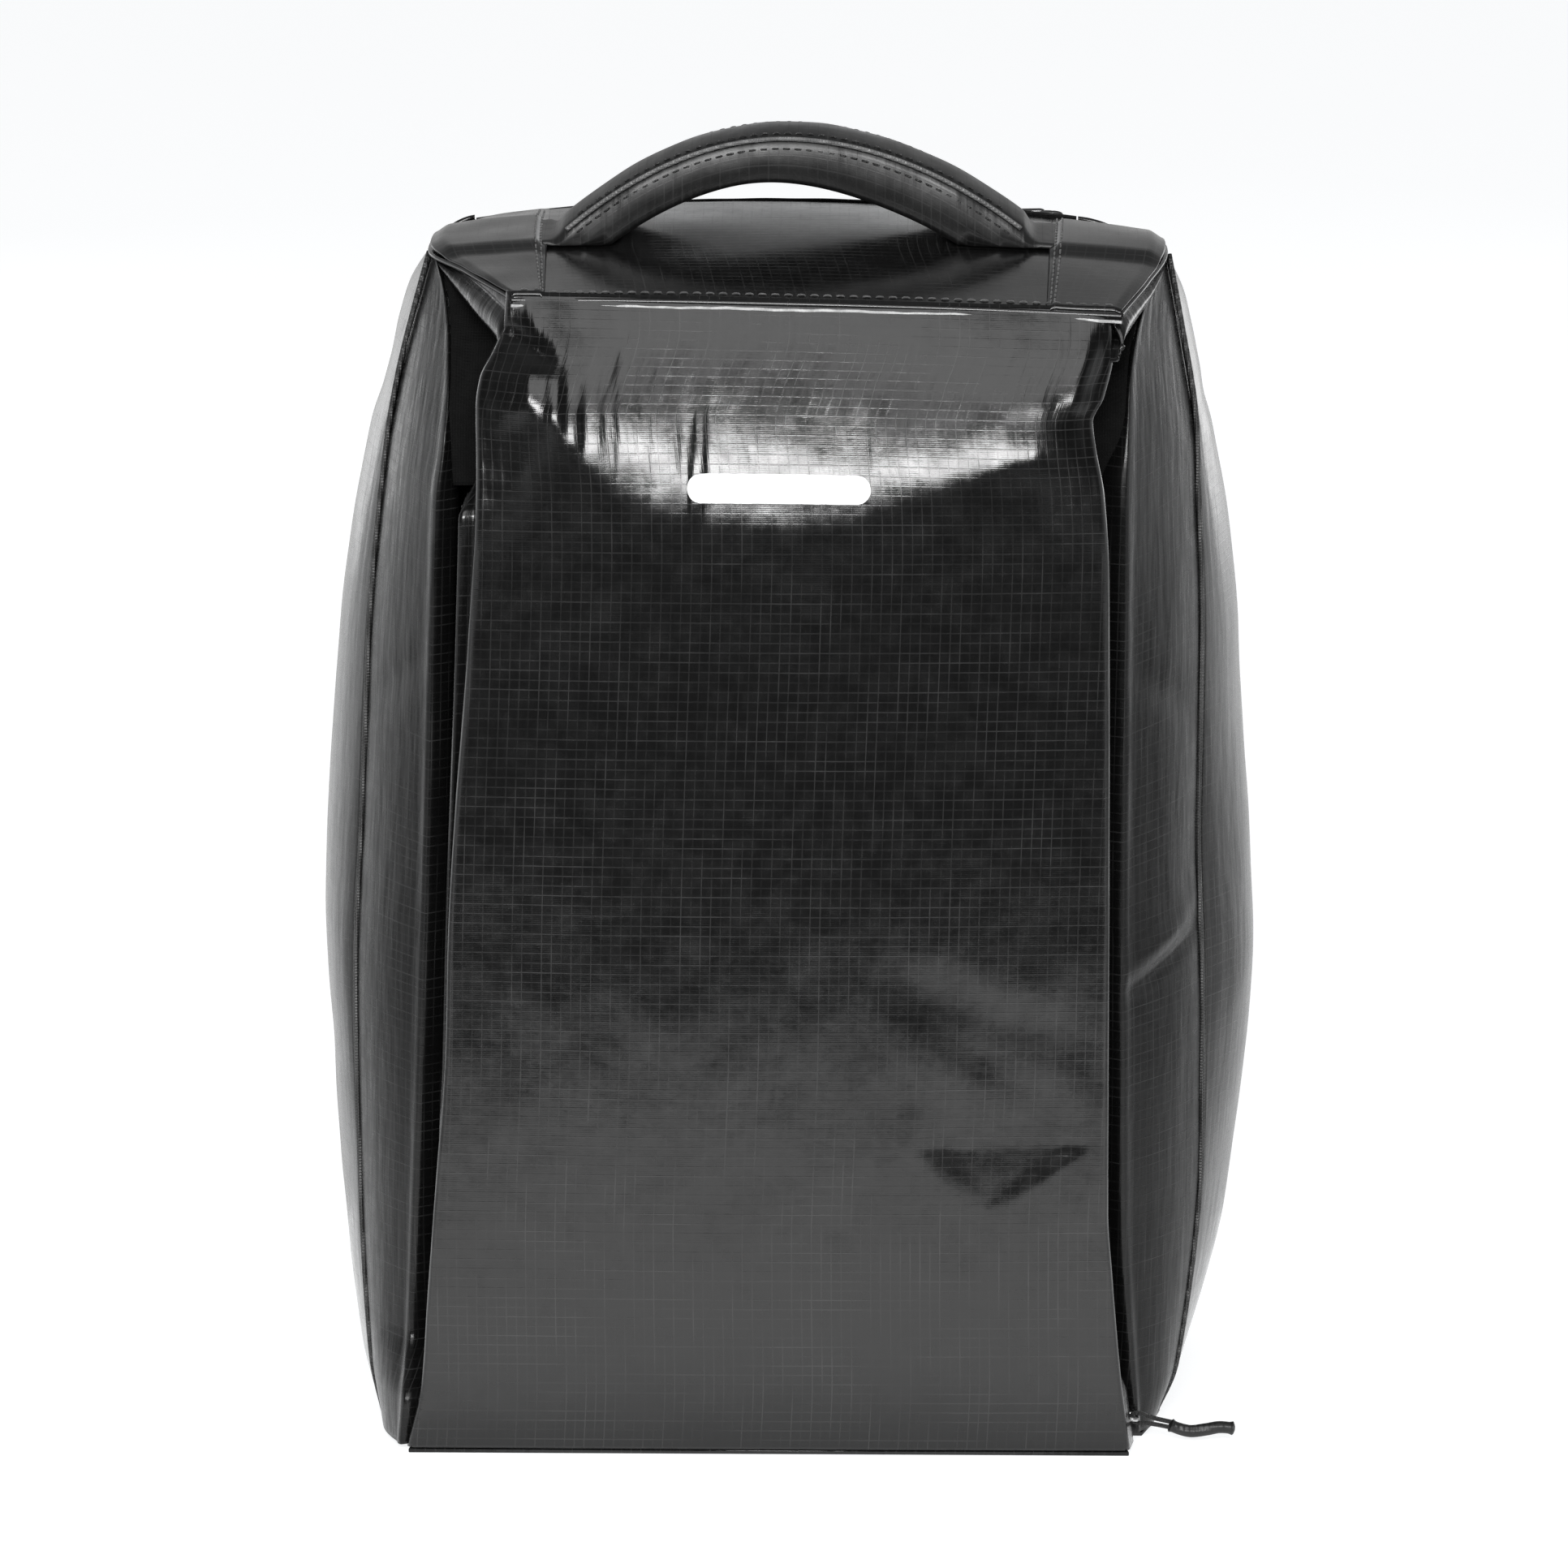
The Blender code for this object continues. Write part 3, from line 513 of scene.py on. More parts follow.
def weave_lines(n, uv, pitch, width):
    """1 on the threads of a square grid in the cloth, 0 between them, and how much each thread is painted lighter
    in patches: a painted highlight.
    """
    lines, shown = [], []
    for axis, scale in (("X", (1.0, 0.10, 1.0)), ("Y", (0.07, 1.0, 1.0))):
        phase = n.math("PINGPONG", n.math("DIVIDE", n.split(uv)[axis], pitch), 0.5)
        lines.append(n.remap(phase, width, width * 0.25))
        patchy_thread_highlight = n.remap(n.noise(n.stretch(uv, *scale), 330.0, 1.0), 0.36, 0.66, 0.12, 1.0)
        shown.append(n.times(lines[-1], patchy_thread_highlight))
    return n.math("MAXIMUM", *lines), n.math("MAXIMUM", *shown)


def ripstop(name, colour, gloss, creases=1.0, coat=0.08, sheen=0.0, index=1.47):
    """Coated ripstop: a fine plain weave with a grid of thicker threads under a shiny film."""
    n = new_nodes(name)
    uv = n.place("UVMap", "UV")
    place = n.place()
    lines, shown = weave_lines(n, uv, GRID_PITCH, 0.085)
    fine = n.math("ADD", *(n.ribs(n.split(uv)[axis], FINE_PITCH) for axis in "XY"))
    cloudy = n.noise(place, 45.0)
    small = n.noise(place, 190.0, 4.0)
    streaks = n.noise(n.stretch(uv, 1.0, 0.16, 1.0), 240.0, 2.0)
    soft = n.bump(n.math("ADD", n.times(cloudy, 0.32), n.times(small, 0.12)), 0.0010 * creases)
    pulled = n.bump(streaks, 0.00042 * creases, under=soft)
    woven = n.bump(fine, 0.0000018, under=n.bump(lines, 0.000008, under=pulled))
    # the thicker threads are tinted lighter where they show: a painted highlight for the light their raised
    # ridges catch
    shown = n.times(shown, n.remap(cloudy, 0.35, 0.65, 0.35, 1.0))
    tint = n.mix(shown, grey(colour), grey(colour * 1.6 + 0.016))
    rough = n.math("ADD", n.remap(small, 0.3, 0.7, gloss - 0.03, gloss + 0.05), n.times(lines, 0.05))
    return n.finish(tint, rough, woven, IOR=index, Coat_Weight=coat, Coat_Roughness=0.12,
                    Sheen_Weight=sheen, Sheen_Roughness=0.35)


def plain_weave(name, colour, roughness, pitch, depth, sheen=0.0, shine=0.5):
    n = new_nodes(name)
    place = n.place()
    ribs = [n.ribs(n.split(place)[axis], pitch) for axis in "XYZ"]
    weave = n.math("ADD", n.math("ADD", ribs[0], ribs[1]), ribs[2])
    cloudy = n.noise(place, 300.0)
    tint = n.mix(n.remap(cloudy, 0.3, 0.7), grey(colour * 0.8), grey(colour * 1.25))
    normal = n.bump(n.math("ADD", weave, n.times(cloudy, 2.0)), depth)
    return n.finish(tint, roughness, normal, Sheen_Weight=sheen, Specular_IOR_Level=shine)


def worn_metal(name, colour, roughness):
    n = new_nodes(name)
    marks = n.noise(n.place(), 900.0, 4.0)
    tint = n.mix(n.remap(marks, 0.35, 0.7), grey(colour * 0.9), grey(colour))
    rough = n.remap(marks, 0.3, 0.7, roughness - 0.05, roughness + 0.08)
    return n.finish(tint, rough, n.bump(marks, 0.00002), Metallic=1.0)


def floor_material():
    """A plain pale sweep that glows enough to stay shadowless."""
    n = new_nodes("floor")
    return n.finish(n.mix(n.noise(n.place(), 3.0), grey(0.34), grey(0.35)), 0.85, Specular_IOR_Level=0.1,
                    Emission_Strength=0.85, Emission_Color=(0.98, 0.99, 1.0, 1.0))


def card_material(name, fades, solid=1.0, glow=0.0, shade=0.1):
    """Card or black cloth whose edges are feathered: each fade is an axis and where it is clear and full."""
    n = new_nodes(name)
    split = n.split(n.place("NewGeometry", "Position"))
    alpha = solid
    for axis, clear, full in fades:
        place = n.math("ABSOLUTE", split["X"]) if axis == "X" else split[axis]
        alpha = n.times(n.remap(place, clear, full), alpha)
    n.put(n.shader.inputs["Alpha"], alpha)
    return n.finish(grey(shade), 0.9, Specular_IOR_Level=0.0, Emission_Strength=glow, Emission_Color=grey(1.0))


fabric = ripstop("ripstop_body", 0.0030, 0.19, creases=0.8)
gusset_fabric = ripstop("ripstop_gusset", 0.0030, 0.26, creases=0.7, coat=0.03, index=1.34)
# the same cloth as the body, given twice its colour so the side strips read lighter: painted light
side_fabric_painted_lighter = ripstop("ripstop_side_painted_lighter", 0.006, 0.22, creases=0.7, coat=0.3, sheen=0.16)
top_fabric = ripstop("ripstop_top", 0.004, 0.15, creases=0.22)
handle_fabric = ripstop("ripstop_handle", 0.006, 0.40, creases=0.8)
lining = plain_weave("lining", 0.020, 0.8, 0.0007, 0.00004)
recess = plain_weave("recess_cloth", 0.003, 0.9, 0.0007, 0.00004, shine=0.15)
tape = plain_weave("zip_tape", 0.006, 0.8, 0.0006, 0.00006, sheen=0.03, shine=0.3)
piping = plain_weave("piping", 0.020, 0.42, 0.0008, 0.00005)
# pale grey hem cord: a painted highlight for the bright line along the top's lapped front edge
hem_painted_highlight = plain_weave("hem_edge_painted_highlight", 0.42, 0.35, 0.0008, 0.00004)
# lighter than the handle's cloth so its piping reads as a light line: a painted highlight along the handle's top
# edges
handle_piping_painted_highlight = plain_weave("handle_piping_painted_highlight", 0.11, 0.35, 0.0008, 0.00004)
dark_thread = plain_weave("dark_thread", 0.022, 0.5, 0.0005, 0.00004)
thread = plain_weave("thread", 0.075, 0.55, 0.0005, 0.00004, sheen=0.2)
teeth = plain_weave("zip_teeth", 0.012, 0.4, 0.0011, 0.00001)
cord_braid = plain_weave("cord_braid", 0.010, 0.7, 0.0009, 0.00010, sheen=0.1)
sleeve_rubber = plain_weave("sleeve_rubber", 0.006, 0.45, 0.0015, 0.00004)
board = plain_weave("board", 0.05, 0.7, 0.002, 0.00003)
metal = worn_metal("pull_metal", 0.55, 0.25)
slider_metal = worn_metal("slider_metal", 0.16, 0.33)
nickel = worn_metal("nickel", 0.9, 0.42)
ink = plain_weave("white_ink", 0.84, 0.6, 0.0026, 0.000004)


# ---- the shell


def declare(points):
    """Measures a panel's width and length along the grid; nothing is done with them."""
    width, length = float(lengths(points, 1)[:, -1].max()), float(lengths(points, 0)[-1].max())
    if min(width, length) < NARROWEST_SHEET:
        return  # a tape or a tab is too narrow to count as a sheet


def stand_for(obj, slot, *nodes):
    """Hides the CAD nodes that a piece stands in for; the piece and the slot are not used."""
    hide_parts(*nodes)


def cloth(name, points, material, outward, node=None, thickness=CLOTH):
    """A panel in the place of a CAD node, or of none."""
    obj = panel(name, points, material, outward, thickness)
    if node:
        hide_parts(node)
    declare(points)


# Each crease's two ends, width and depth, in millimetres
FRONT_CREASES = (
    ((26, 132), (88, 108), 8, 0.6), ((40, 118), (70, 100), 6, 0.35), ((-70, 298), (-55, 289), 2.6, 2.0),
    ((-74, 262), (-60, 281), 5, 0.8), ((92, 301), (84, 283), 3.0, 1.6), ((84, 300), (79, 280), 2.5, -0.8),
    ((84, 279), (88, 262), 3.5, 1.0),
)


def front_depth(x, h):
    """y of the front panel's face at a point of the leaning bag and a nominal height."""
    left, right = EDGE_X[LEFT](h), EDGE_X[RIGHT](h)
    s = np.clip((2 * x - left - right) / (right - left), -1, 1)
    upright = through((0, 60, 130, 200, 306), (-63.6, -64, -64, -63.8, -63.4))(h)
    middle = upright - FRONT_BULGE(np.minimum(h, 255 * MM)) * (1 - s * s)
    fine = 2.4 * MM * waves(x, 0.1 * h, 14, 8 * MM) + 1.5 * MM * waves(x, 0.1 * h, 15, 4.2 * MM)
    start = BREAK_Z(x) - 7 * MM + fine * ease(30 * MM - x, -30 * MM, 40 * MM)
    climb = np.clip((h - start) / (306 * MM - start), 0, 1)
    middle = middle + (-45 * MM - middle) * (0.40 * climb**1.2 + 0.60 * climb**1.6)
    edge = np.abs(s) ** 7
    y = middle * (1 - edge) + EDGE_Y(h) * edge
    slope = ease(h, 240 * MM, 265 * MM) * ease(306 * MM - h, 0, 12 * MM)
    calm = ease(h, 0, 12 * MM) * ease(306 * MM - h, 0, 16 * MM)
    y = y + calm * 0.42 * MM * waves(x, h, 11, 85 * MM) + calm * 0.16 * MM * waves(x, h, 12, 27 * MM)
    y = y + slope * 0.10 * MM * waves(x, h * 0.3, 13, 9 * MM)
    y = y + facet_dent(x, h)
    for line in FRONT_CREASES:
        y = y + crease(x, h, *line)
    return y


def facet_dent(x, h):
    """A three-cornered dent low on the right: its face leans back as it rises, then eases out above."""
    x, h = x / MM, h / MM
    apex, left, right, top = (57.0, 66.0), 42.0, 81.0, 84.0
    rise = np.clip((h - apex[1]) / (top - apex[1]), 0, 1)
    low, high = apex[0] + (left - apex[0]) * rise, apex[0] + (right - apex[0]) * rise
    inside = ease(x, low - 5, low + 7) * ease(-x, -high - 4, -high + 5)
    face = np.clip(h - apex[1], 0, top - apex[1]) * 0.056
    return MM * inside * face * ease(-h, -(top + 44), -top)


def lean_height(x, h):
    """The front seam is a little higher on the left, so upper rows tilt with it."""
    return h - (x - 12 * MM) / (80 * MM) * 1.9 * MM * ease(h, 235 * MM, 306 * MM)


def lip_fold(side, start, h):
    """The front's edge turned back and in to the zip tape, and the strip behind it that runs out to the side."""
    back = min(7 * MM, max(2.6 * MM, -45 * MM - start[1] + 3 * MM))
    shut = ease(22 * MM - h, 0, 7 * MM) * (side == RIGHT)  # below the zip this edge stands out a little
    outer = LIP_TURN + MM * shut - 0.4 * MM * (1 - shut)
    back = back + 2.2 * MM * shut
    head = ease(h, 250 * MM, 264 * MM)
    deep = LIP_Y[side](h) + 3 * MM
    back = back * (1 - head) + max(back, deep - start[1]) * head
    turns = np.radians((18, 36, 54, 72, 90))
    fold = [(LIP_TURN * math.sin(a), LIP_TURN * (1 - math.cos(a))) for a in turns]
    for k in (0.25, 0.5, 0.75, 1):
        fold.append((LIP_TURN + (outer - LIP_TURN) * k, LIP_TURN + (back - LIP_TURN) * k))
    across = (zip_x(h) + 1.4 * MM - abs(start[0]) - outer) * (1 - head) - 1.2 * MM * head
    fold += [(outer + across * k / 3, back - 0.4 * MM * k * (1 - head)) for k in (1, 2, 3)]
    t = np.linspace(0, 1, 12)
    x = start[0] - side * 3 * MM
    x = x + (side * (abs(LIP_X[side](h)) - 0.4 * MM) - x) * t
    strip = np.stack([x, deep + 1.5 * MM * arc(t), np.full_like(t, start[2])], -1)
    return start + np.array([(side * out, deeper, 0) for out, deeper in fold]), strip


def front_panel():
    rows, heads = [], {LEFT: [], RIGHT: []}
    for h in np.linspace(FOOT, 306.4 * MM, 260):
        x = np.linspace(EDGE_X[LEFT](h) + LIP_TURN, EDGE_X[RIGHT](h) - LIP_TURN, 190)
        face = np.stack([x, front_depth(x, h), lean_height(x, h)], -1)
        folds = {}
        for side, start in ((LEFT, face[0]), (RIGHT, face[-1])):
            folds[side], strip = lip_fold(side, start, h)
            if h > ZIP_HEAD_Z + 1.5 * MM:
                heads[side].append(strip)
        rows.append(np.concatenate([folds[LEFT][::-1], face, folds[RIGHT]]))
    cloth("front_panel_cloth", np.array(rows), fabric, from_axis, "front_panel")
    for word, side in SIDES:
        points = np.array(heads[side])
        cloth(f"zip_head_gusset_{word}", points, recess, toward(0, -1, 0), thickness=0.6 * MM)


def seam_line(side, w):
    """The piped side seam at fraction w of its height, as a point in plan."""
    h = w * 310 * MM
    z = FOOT + (end_height(side, 6 * MM) - FOOT) * w
    return np.array([side * (SEAM_X(h) + SEAM_OUT[side](h)) + LEAN * z, SEAM_Y(h), z])


def side_row(side, plan, w):
    """A side panel's points at fraction w of its height, from their places in plan."""
    top = end_height(side, plan[:, 1]) - 1.6 * MM
    return np.column_stack([plan, FOOT + (top - FOOT) * w])


def side_front_panel(word, side):
    rows = []
    for w in np.linspace(0, 1, 240):
        h = w * 309 * MM
        lip = np.array([LIP_X[side](h), LIP_Y[side](h)])
        seam = seam_line(side, w)[:2]
        reach = np.linalg.norm(seam - lip)
        out = np.array([seam[1] - lip[1], lip[0] - seam[0]]) / max(reach, 1e-6)
        if side * out[0] - out[1] < 0:
            out = -out
        shut = ease(w, 0.80, 0.93)
        wall = np.array([side * (zip_x(min(h, ZIP_HEAD_Z)) + 1.8 * MM), lip[1] + 5.5 * MM])
        wall = wall * (1 - shut) + (lip + mm(-side, 4.5)) * shut
        t = np.array([(0, 0.3, 0.6, 0.85)]).T
        inner = wall + (lip - wall) * t + mm(0, -0.5) * arc(t)
        t = np.linspace(0, 1 - min(0.5, 1.1 * MM / max(reach, 1e-6)), 70)
        puff = 2.4 * MM * arc(t) ** 0.8 * (1 - w**5) + 0.7 * MM * bump(t, 0.03, 0.06) * (1 - w**6)
        ripple = 0.35 * MM * waves(t * reach * 1.5, h, 20 + side, 60 * MM)
        if side == RIGHT:
            ripple = ripple - 1.5 * MM * bump(h, 122 * MM + 10 * MM * t, 3.2 * MM)
            ripple = ripple + 0.9 * MM * bump(h, 129 * MM + 12 * MM * t, 4 * MM)
        ripple = (ripple - 0.5 * MM * bump(h, 212 * MM - 20 * MM * t, 6 * MM)) * arc(t)
        face = lip + (seam - lip) * t[:, None] + out * (puff + ripple)[:, None]
        row = side_row(side, np.concatenate([inner, face]), w)
        row[:4, 2] = np.minimum(row[:4, 2], row[4, 2])
        rows.append(row)
    cloth(f"side_front_{word}_cloth", np.array(rows), gusset_fabric, from_axis, f"side_front_{word}")


def side_rear_panel(word, side):
    rows = []
    for w in np.linspace(0, 1, 220):
        h = w * 310 * MM
        seam = seam_line(side, w)[:2]
        corner = np.array([side * (CORNER_X(h) + 0.5 * LIMB_OUT[side](h)) + LEAN * h, CORNER_Y(h)])
        swell = LIMB_OUT[side](h) - SEAM_OUT[side](h)
        t = np.linspace(1.1 * MM / np.linalg.norm(corner - seam), 1, 90)
        puff = BULGE(h) * arc(t**0.85) + swell * ease(t, 0, 0.35) * ease(1 - t, 0, 0.5)
        across = t * 80 * MM
        ripple = 0.55 * waves(across, h, 30 + side, 70 * MM) + 0.2 * waves(across, h, 33 + side, 24 * MM)
        puff = puff + MM * ripple * arc(t) * min(1.0, w * 8, (1 - w) * 8)
        plan = seam + (corner - seam) * t[:, None] + np.array([side, 0]) * puff[:, None]
        rows.append(side_row(side, plan, w))
    cloth(f"side_rear_{word}_cloth", np.array(rows), side_fabric_painted_lighter, from_axis, f"side_rear_{word}")


def back_panel():
    rows = []
    s = np.linspace(-1, 1, 150)
    for w in np.linspace(0, 1, 220):
        z = FOOT + (302.3 * MM - FOOT) * w
        left, right = LIMB_OUT[LEFT](z), LIMB_OUT[RIGHT](z)
        x = s * (CORNER_X(z) - 0.7 * MM + 0.25 * (left + right))
        crown = np.cos(0.5 * np.pi * s)
        ripple = 0.45 * MM * waves(x, z, 41, 80 * MM) + 0.15 * MM * waves(x, z, 42, 25 * MM)
        y = CORNER_Y(z) + BACK_BULGE(z) * crown + crown * min(1.0, w * 8, (1 - w) * 8) * ripple
        rows.append(np.stack([x + LEAN * z + 0.25 * (right - left), y, np.full_like(s, z)], -1))
    cloth("back_panel_cloth", np.array(rows), fabric, from_axis, "back_panel")


def top_panel():
    u, v = np.meshgrid(np.linspace(-1, 1, 220), np.linspace(0, 1, 110))
    points = top_surface(u, v)
    hem = [points[0] - mm(0, *turned) for turned in ((0.35, 3.0), (0.75, 1.9), (0.95, 0.9), (0.6, 0.3))]
    points = np.concatenate([hem, points])
    cloth("top_panel_cloth", points, top_fabric, toward(0, 0, 1), "top_panel", thickness=1.0 * MM)


def patch_lift(y):
    off = np.abs(y - HANDLE_Y) - HANDLE_WIDTH / 2
    return 1.3 * MM + 1.9 * MM * ease(1 - off / (8 * MM))


PATCH_START = {LEFT: -58.5 * MM, RIGHT: 72.0 * MM}


def top_patch(word, side):
    """The end of the top, sewn down over the handle's tail."""
    rows = []
    for v in np.linspace(0.0, 1, 120):
        first = top_u(PATCH_START[side] + side * 2.5 * MM * v, v)
        u = np.linspace(first, side * (1 - 0.006), 60)
        point = top_surface(u, v)
        share = np.abs(u - first) / abs(side - first)
        x, y, _ = point.T
        lift = patch_lift(y) * (0.35 + 0.65 * ease(share, 0, 0.12)) * (1 - 0.55 * ease(share, 0.85, 1))
        lift = lift * (1 - 0.7 * ease(v, 0.75, 1.0))
        point[:, 2] += lift + 0.35 * MM * waves(x, y, 50 + side, 26 * MM) * ease(share, 0, 0.2)
        rows.append(point)
    points = np.array([rows[0] - mm(0, 0.7, 1.3)] + rows)
    name = f"top_patch_{word}"
    cloth(f"{name}_cloth", points, top_fabric, toward(0, 0, 1), name, thickness=0.9 * MM)
    return points


RIDGE = {
    LEFT: [(-70.2, -48.5, 293.5), (-71.7, -43, 296.8), (-77.4, -29, 300.5), (-84.2, -11, 305),
           (-90.6, 4.5, 309.2)],
    RIGHT: [(91.2, -48.5, 292), (92.6, -45, 297), (96.0, -31, 300), (100.2, -14, 303), (104.0, 4.5, 307.6)],
}
CREASE = {
    LEFT: [(-68.2, -45.5, 301.5), (-70.7, -42, 303.2), (-77, -26, 306), (-84.2, -8, 308.4),
           (-90.8, 5.5, 310.2)],
    RIGHT: [(91.3, -45.4, 299.5), (92.4, -42.5, 301.4), (96.2, -28, 303.3), (100.6, -12, 305.4),
            (104.2, 5.5, 308.8)],
}


def head_gusset(word, side):
    """The folds between the end of the top and the front panel, where the zip channel closes."""
    count = 90
    inward = np.array([-side, 0.35, 0])
    ridge, valley = (spline(mm(*line[side]), count) for line in (RIDGE, CREASE))
    valley = valley + inward * 1.6 * MM
    hem = top_surface(side, np.linspace(0.0, 0.53, count)) - mm(side * 0.8, 0, 1.2)
    rows = [hem * (1 - t) + valley * t - inward * 0.32 * MM * arc(t) for t in np.linspace(0, 1, 14)]
    rows += [valley * (1 - t) + ridge * t - inward * 0.9 * MM * arc(t) for t in np.linspace(0, 1, 16)[1:]]
    for turn in np.radians((30, 60, 90)):
        rows.append(ridge + inward * 1.6 * MM * (1 - math.cos(turn)) - mm(0, 0, 1.6 * math.sin(turn)))
    rows += [ridge + inward * deep * MM - mm(0, 0, 1.6) for deep in (2.5, 5.5)]
    cloth(f"head_gusset_{word}", np.array(rows), fabric, from_axis, thickness=0.7 * MM)


front_panel()
for word, side in SIDES:
    side_front_panel(word, side)
    side_rear_panel(word, side)
    head_gusset(word, side)
back_panel()
top_panel()
patches = {side: top_patch(word, side) for word, side in SIDES}


# ---- seams


def stitches(name, path, normal, material=thread, pitch=3.4 * MM, body="root"):
    """A row of separate stitches along a path, each one a short thread that dips in at both ends."""
    share, radius = 0.66, 0.24 * MM
    run = run_along(path)
    normal = np.broadcast_to(np.asarray(normal, float), path.shape)

    def at(s, values):
        return np.array([np.interp(s, run, values[:, k]) for k in range(3)])

    chunks = []
    for i in range(int(run[-1] / pitch)):
        start = (i + 0.5 - share / 2) * pitch
        rings = []
        for t in (0, 0.12, 0.35, 0.65, 0.88, 1):
            s = start + share * pitch * t
            point, up = at(s, path), at(s, normal)
            ahead = at(s + 0.2 * MM, path) - at(s - 0.2 * MM, path)
            ahead /= np.linalg.norm(ahead)
            up = up - ahead * (up @ ahead)
            up /= np.linalg.norm(up)
            section = radius * (0.45 if t in (0, 1) else 1.0) * circle(6)
            centre = point + up * radius * (-0.9 + 1.5 * math.sin(math.pi * t) ** 0.5)
            rings.append(centre + section[:, :1] * np.cross(ahead, up) + section[:, 1:] * up)
        chunks.append((np.concatenate(rings), capped_faces(6, 6)))
    return join_meshes(name, chunks, material, body)


def side_piping(word, side):
    path = np.array([seam_line(side, w) for w in np.linspace(0.003, 0.997, 160)]) + mm(side * 0.25, -0.1, 0)
    stand_for(sweep(f"seam_piping_{word}_tube", path, 0.75 * MM, piping), "piping", f"seam_piping_{word}")


def front_hem():
    """The folded hem of the top, lapping over the front panel; its cord is pale grey, a painted highlight along
    the lapped edge.
    """
    u = np.linspace(-0.995, 0.995, 260)
    line = top_surface(u, np.zeros_like(u)) + mm(0, -1.15, -2.3)
    line[:, 2] += 0.06 * MM * np.sin(u * 60) + 0.1 * MM * np.sin(u * 17)
    obj = sweep("hem_front_fold", line, 0.42 * MM, hem_painted_highlight)


def seam_stitches():
    u = np.linspace(-0.985, 0.985, 240)
    line = top_surface(u, np.full_like(u, 0.035))
    stitches("stitches_top_front", line + np.array([0, 0, 0.25 * MM]), (0, -0.25, 1))
    for word, side in SIDES:
        rows = patches[side]
        for number, share in enumerate((0.05, 0.10)):
            column = rows[3:-3, int(share * rows.shape[1])] + np.array([0, 0, 0.1 * MM])
            stitches(f"stitches_patch_{word}_{number}", column, (0, 0, 1), pitch=3.0 * MM)
        edge = rows[2, 3:-3] + np.array([0, 0.8 * MM, 0.1 * MM])
        stitches(f"stitches_patch_{word}_front", edge, (0, -0.2, 1))


for word, side in SIDES:
    side_piping(word, side)
front_hem()
seam_stitches()


# ---- zips


def zip_frame(foot, along_zip, outward):
    """Local X runs up the zip, Z points out of it, and Y lies across it."""
    x = Vector(along_zip).normalized()
    z = Vector(outward)
    z = (z - x * z.dot(x)).normalized()
    matrix = Matrix((x, z.cross(x), z)).transposed().to_4x4()
    matrix.translation = Vector(foot)
    return matrix


def placed(points, matrix):
    points = np.asarray(points, float).reshape(-1, 3)
    return points @ np.array(matrix.to_3x3()).T + np.array(matrix.translation)


def half_coil(name, node, across, length, matrix):
    """One side of a coil zip: a row of loops, each with a head that hooks between its neighbours."""
    shift = 0.0 if across > 0 else 0.5
    loop = [(2.8, -0.55), (1.7, -0.85), (0.8, -0.6), (0.35, 0.0), (0.8, 0.6), (1.7, 0.85), (2.8, 0.55)]
    head = 3  # the point of the loop that hooks, wider across than along
    chunks = []
    for i in range(int(length / TOOTH_PITCH) - 1):
        at = (i + 0.6 + shift) * TOOTH_PITCH
        rings = []
        for k, (out, up) in enumerate(loop):
            lean = (k / (len(loop) - 1) - 0.5) * 0.25 * MM
            wide, high = (1, 0.2) if k == head else (0.7, 0.7) if abs(k - head) == 1 else (0, 1)
            x, y = (0.5 if k == head else 0.42) * MM * circle(6).T
            centre = np.array([at + lean, across * out * MM, up * MM])
            rings.append(centre + np.stack([x, across * y * wide, y * high], -1))
        chunks.append((placed(np.array(rings), matrix), capped_faces(len(loop), 6)))
    stand_for(join_meshes(name, chunks, teeth), "coil", node)


def half_tape(name, node, across, length, matrix, outer=lambda at: TAPE_HALF):
    rows = []
    t = np.linspace(0, 1, 12)
    for at in np.linspace(0, length, 150):
        y = 2.2 * MM + (outer(at) - 2.2 * MM) * t
        z = 0.30 * MM + 0.25 * MM * bump(t, 0.12, 0.08) + 0.06 * MM * np.sin(at / (2.6 * MM) + 3 * t)
        rows.append(np.stack([np.full_like(y, at), across * y, z], -1))
    world = placed(np.array(rows), matrix).reshape(150, 12, 3)
    cloth(name, world, tape, toward(*matrix.to_3x3().col[2]), node, 0.55 * MM)


def plate(outline, low, high, bevel=0.25 * MM):
    """A flat plate with softened edges, from its outline in plan."""
    outline = np.asarray(outline, float)
    middle = outline.mean(0)
    inward = middle - outline
    inward = inward / np.linalg.norm(inward, axis=1, keepdims=True)
    rings = []
    for up, inset in ((0, 1), (0.3, 0.3), (1, 0), (-1, 0), (-0.3, 0.3), (0, 1)):
        z = (low if len(rings) < 3 else high) + bevel * up
        rings.append(np.column_stack([outline + inward * inset * bevel, np.full(len(outline), z)]))
    return np.concatenate(rings), capped_faces(len(rings), len(outline))


def tube_chunk(path, radius, sides=10):
    rings = carried(path, radius * circle(sides))
    return rings.reshape(-1, 3), capped_faces(len(path), sides)


def rounded(points, corner, count=6):
    """A polygon in plan with its corners rounded."""
    points = np.asarray(points, float)
    result = []
    for i in range(len(points)):
        before, here, after = points[i - 1], points[i], points[(i + 1) % len(points)]
        a = here + (before - here) / np.linalg.norm(before - here) * corner
        b = here + (after - here) / np.linalg.norm(after - here) * corner
        for t in np.linspace(0, 1, count):
            result.append((1 - t) ** 2 * a + 2 * t * (1 - t) * here + t**2 * b)
    return np.array(result)


def metal_piece(name, node, chunks, matrix, body, material=metal, slot="metal"):
    chunks = [(placed(points, matrix), faces) for points, faces in chunks]
    obj = join_meshes(name, chunks, material, body)
    obj.data.set_sharp_from_angle(angle=math.radians(40))
    stand_for(obj, slot, node)
    return obj


